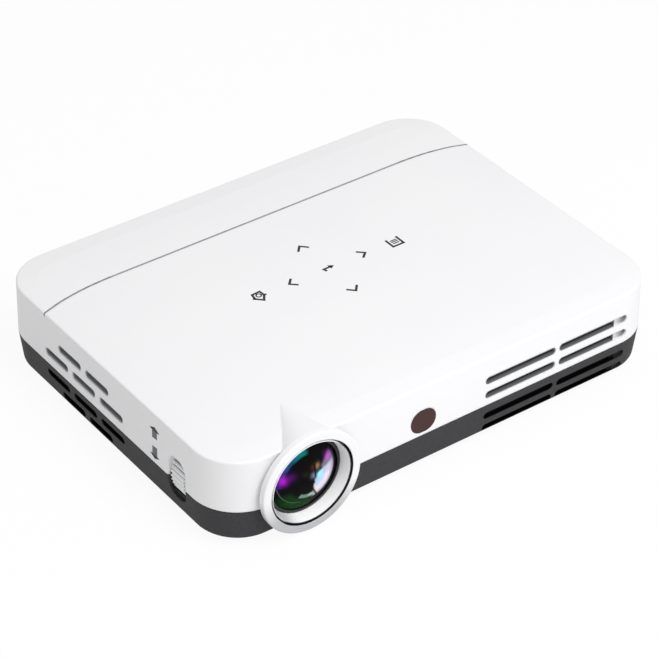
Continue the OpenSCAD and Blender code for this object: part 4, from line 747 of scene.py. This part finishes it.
def joined(name, parts, body, material):
    # several surfaces made one piece, which rides on a body; a part is its points, its quads and its end faces
    starts = np.cumsum([0] + [len(points) for points, quads, ends in parts])
    faces = np.concatenate([quads + start for (points, quads, ends), start in zip(parts, starts)]).tolist()
    faces += [(end + start).tolist() for (points, quads, ends), start in zip(parts, starts) for end in ends]
    mesh = bpy.data.meshes.new(name)
    mesh.from_pydata(np.concatenate([points for points, quads, ends in parts]).tolist(), [], faces)
    mesh.materials.append(material)
    piece = bpy.data.objects.new(name, mesh)
    bpy.context.scene.collection.objects.link(piece)
    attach(piece, body)


# widths, heights and colours of the print, in millimetres
inkLook = {"stroke": 1.02, "thin": 0.62, "rise": 0.025, "headRise": 0.035, "circleSteps": 24}
printLook = {"colour": ink("26272a"), "shade": ink("1f2023"), "grain": 2400.0, "depth": 0.00001, "rough": 0.5,
             "rub": 0.1, "specular": 0.3}
printed = moulded("printedGrey", printLook)
printedPale = moulded("printedPaleGrey", {**printLook, "colour": ink("6b6d70"), "shade": ink("5d5f62")})


def strokeBand(path, width, rise, lay, closed=False):
    # a printed stroke: a low box section carried along the path, its corners mitred by the mean of both normals;
    # lay turns (across, along, height) into a place on the object
    path = np.array(path, float)
    before, after = np.roll(path, 1, axis=0), np.roll(path, -1, axis=0)
    ahead, behind = after - path, path - before
    if not closed:
        ahead[-1], behind[0] = behind[-1], ahead[0]
    ahead /= np.linalg.norm(ahead, axis=1)[:, None]
    behind /= np.linalg.norm(behind, axis=1)[:, None]
    normal = np.stack([-(ahead + behind)[:, 1], (ahead + behind)[:, 0]], axis=1)
    normal /= np.linalg.norm(normal, axis=1)[:, None]
    side = np.stack([-ahead[:, 1], ahead[:, 0]], axis=1)
    reach = (width / 2 / (normal * side).sum(axis=1))[:, None] * normal
    edges = [(path + sign * reach, height) for sign, height in ((1, 0.0), (1, rise), (-1, rise), (-1, 0.0))]
    points = np.stack([lay(edge[:, 0], edge[:, 1], height) for edge, height in edges], axis=1)
    ends = [] if closed else [np.arange(4)[::-1], np.arange(4) + 4 * (len(points) - 1)]
    return points.reshape(-1, 3), gridFaces(len(points), 4, closed), ends


def filledPatch(path, rise, lay):
    # a filled mark: the outline carried up by rise and closed with one face below and one above
    path = np.array(path, float)
    levels = [lay(path[:, 0], path[:, 1], height) for height in (0.0, rise)]
    count = len(path)
    ends = [np.arange(count)[::-1], np.arange(count) + count]
    return np.concatenate(levels), gridFaces(2, count), ends


def circlePath(cx, cy, radius):
    # places on a circle, by cosine and sine
    turn = np.linspace(0, 2 * math.pi, inkLook["circleSteps"], endpoint=False)
    return np.stack([cx + radius * np.cos(turn), cy + radius * np.sin(turn)], axis=1)


def onTop(x, y, height):
    # a mark's place on the flat middle of the cover, from millimetres about the case's middle
    level = np.full(len(x), caseLook["topLevel"])
    return np.stack([x * mm, y * mm + caseLook["middleY"], level + height * mm], axis=1)


def onWall(y, z, height):
    # a mark's place on the left wall, which leans in a little towards the top
    foot = caseLook["seam"] - caseLook["underside"]
    out = caseLook["halfWidth"] - (z * mm - foot) * caseLook["wallLean"]
    return np.stack([-out - height * mm, y * mm + caseLook["middleY"], z * mm + caseLook["underside"]], axis=1)


# each mark's strokes: which width, whether the line closes, and its corners in millimetres about the case's middle
markLook = {
    "mark_up": [("stroke", False, [(-1.4, 19.5), (1.3, 22.5), (4.1, 19.6)])],
    "mark_right": [("stroke", False, [(17.6, 5.8), (20.4, 3.2), (17.6, 0.7)])],
    "mark_down": [("stroke", False, [(-1.3, -13.2), (1.5, -16.0), (4.1, -13.0)])],
    "mark_left": [("stroke", False, [(-14.9, 5.9), (-17.6, 3.1), (-14.8, 0.6)])],
    "mark_enter": [("stroke", False, [(0.1, 1.7), (-0.4, 3.4), (3.6, 3.4)]),
                   ("thin", True, [(2.7, 4.3), (4.2, 3.4), (2.9, 2.6)])],
    "mark_home": [("stroke", True, [(-34.0, 5.7), (-30.2, 5.9), (-30.0, 3.0), (-32.0, 0.1), (-34.6, 2.8)]),
                  ("thin", True, circlePath(-32.0, 3.9, 1.05)),
                  ("stroke", False, [(-35.3, 3.2), (-34.0, 2.2)]), ("stroke", False, [(-30.0, 3.1), (-28.9, 2.9)])],
    "mark_menu": [("stroke", False, [(37.6, 5.3), (37.6, -0.2), (32.3, -0.2), (32.3, 5.3)]),
                  ("thin", False, [(33.4, 3.6), (36.7, 3.7)]), ("thin", False, [(33.4, 2.6), (36.7, 2.7)]),
                  ("thin", False, [(33.5, 1.5), (36.7, 1.6)])],
}
for name, strokes in markLook.items():
    joined(name, [strokeBand(path, inkLook[width], inkLook["rise"], onTop, closed)
                  for width, closed, path in strokes], "case", printed)

# the two arrows beside the thumbwheel: a paler shaft and a black head with swept wings
arrowLook = {
    "arrow_up": ([(-33.3, 26.3), (-36.6, 26.6), (-36.6, 30.1), (-33.3, 30.1)],
                 [(-31.6, 30.3), (-33.3, 29.9), (-36.6, 29.9), (-38.3, 30.3), (-35.0, 31.9)]),
    "arrow_down": ([(-33.3, 22.3), (-33.3, 18.5), (-36.6, 18.5), (-36.6, 22.6)],
                   [(-31.7, 18.2), (-34.9, 16.7), (-38.0, 18.2), (-36.6, 18.6), (-33.3, 18.6)]),
}
for name, (shaft, head) in arrowLook.items():
    joined(name + "_shaft", [filledPatch(shaft, inkLook["rise"], onWall)], "case", printedPale)
    joined(name + "_head", [filledPatch(head, inkLook["headRise"], onWall)], "case", printed)
print("stage: marks")

# front is where the front net starts and turns the corner, and how many degrees it goes round it; the runs
# at the sides are from and to along the wall, with -1 for the left
netLook = {"inside": 3.0 * mm, "thick": 0.12 * mm, "low": 6.4 * mm, "high": 17.0 * mm, "cornerSteps": 16,
           "front": (11.0 * mm, 60.0 * mm, 24.0),
           "sides": {"dust_net_left": (-1, -6.0 * mm, 52.0 * mm), "dust_net_right": (1, -30.0 * mm, 52.0 * mm)},
           "thread": 1.1 * mm, "threadFrom": 0.05, "threadTo": 0.5, "depth": 0.0001, "rough": 0.8,
           "threadRough": 0.1, "specular": 0.1, "colour": ink("060607"), "gap": ink("010101")}


def netWeave():
    # black woven dust net: two sets of threads, over and under by the product of their waves; between the threads a
    # near-black is painted as the shade seen through the gaps
    r = Recipe("dustNet")
    x, y, z = r.axes()
    along = (x + y) * (2 * math.pi / netLook["thread"])
    up = z * (2 * math.pi / netLook["thread"])
    weave = along.sine() * up.sine()
    thread = r.fit(abs(weave), netLook["threadFrom"], netLook["threadTo"])
    return r.finish(r.blend(thread, netLook["gap"], netLook["colour"]),
                    netLook["rough"] + weave * netLook["threadRough"],
                    normal=r.bump(weave, netLook["depth"]), specular=netLook["specular"])


def netStrip(path):
    # a sheet of two skins, whose points are the path times the height; both skins close at the rim
    path = np.array(path, float)
    count = len(path)
    run = np.gradient(path, axis=0)
    normal = np.stack([-run[:, 1], run[:, 0]], axis=1) / np.linalg.norm(run, axis=1)[:, None]
    levels = np.array([netLook["low"], netLook["high"], netLook["high"], netLook["low"]])
    sides = np.array([1, 1, -1, -1]) * netLook["thick"] / 2
    flat = path[:, None, :] + normal[:, None, :] * sides[None, :, None]
    points = np.concatenate([flat, np.broadcast_to(levels[None, :, None], (count, 4, 1))], axis=2)
    ends = [np.arange(4)[::-1], np.arange(4) + 4 * (count - 1)]
    return points.reshape(-1, 3), gridFaces(count, 4), ends


def frontRun(start, stop, turnTo):
    # a line along the inside of the front wall from start to stop, then round the corner by turnTo degrees
    arcX = caseLook["halfWidth"] - caseLook["corner"]
    arcY = caseLook["middleY"] - caseLook["halfDepth"] + caseLook["corner"]
    radius = caseLook["corner"] - netLook["inside"]
    turn = np.radians(np.linspace(0, turnTo, netLook["cornerSteps"]))
    arc = np.stack([arcX + radius * np.sin(turn), arcY - radius * np.cos(turn)], axis=1)
    return np.concatenate([[[start, arcY - radius], [stop, arcY - radius]], arc])


net = netWeave()
joined("dust_net_front", [netStrip(frontRun(*netLook["front"]))], "case", net)
sideLine = caseLook["halfWidth"] - netLook["inside"]
for name, (sign, low, high) in netLook["sides"].items():
    joined(name, [netStrip([(sign * sideLine, low), (sign * sideLine, high)][::sign])], "case", net)
print("stage: dust nets")
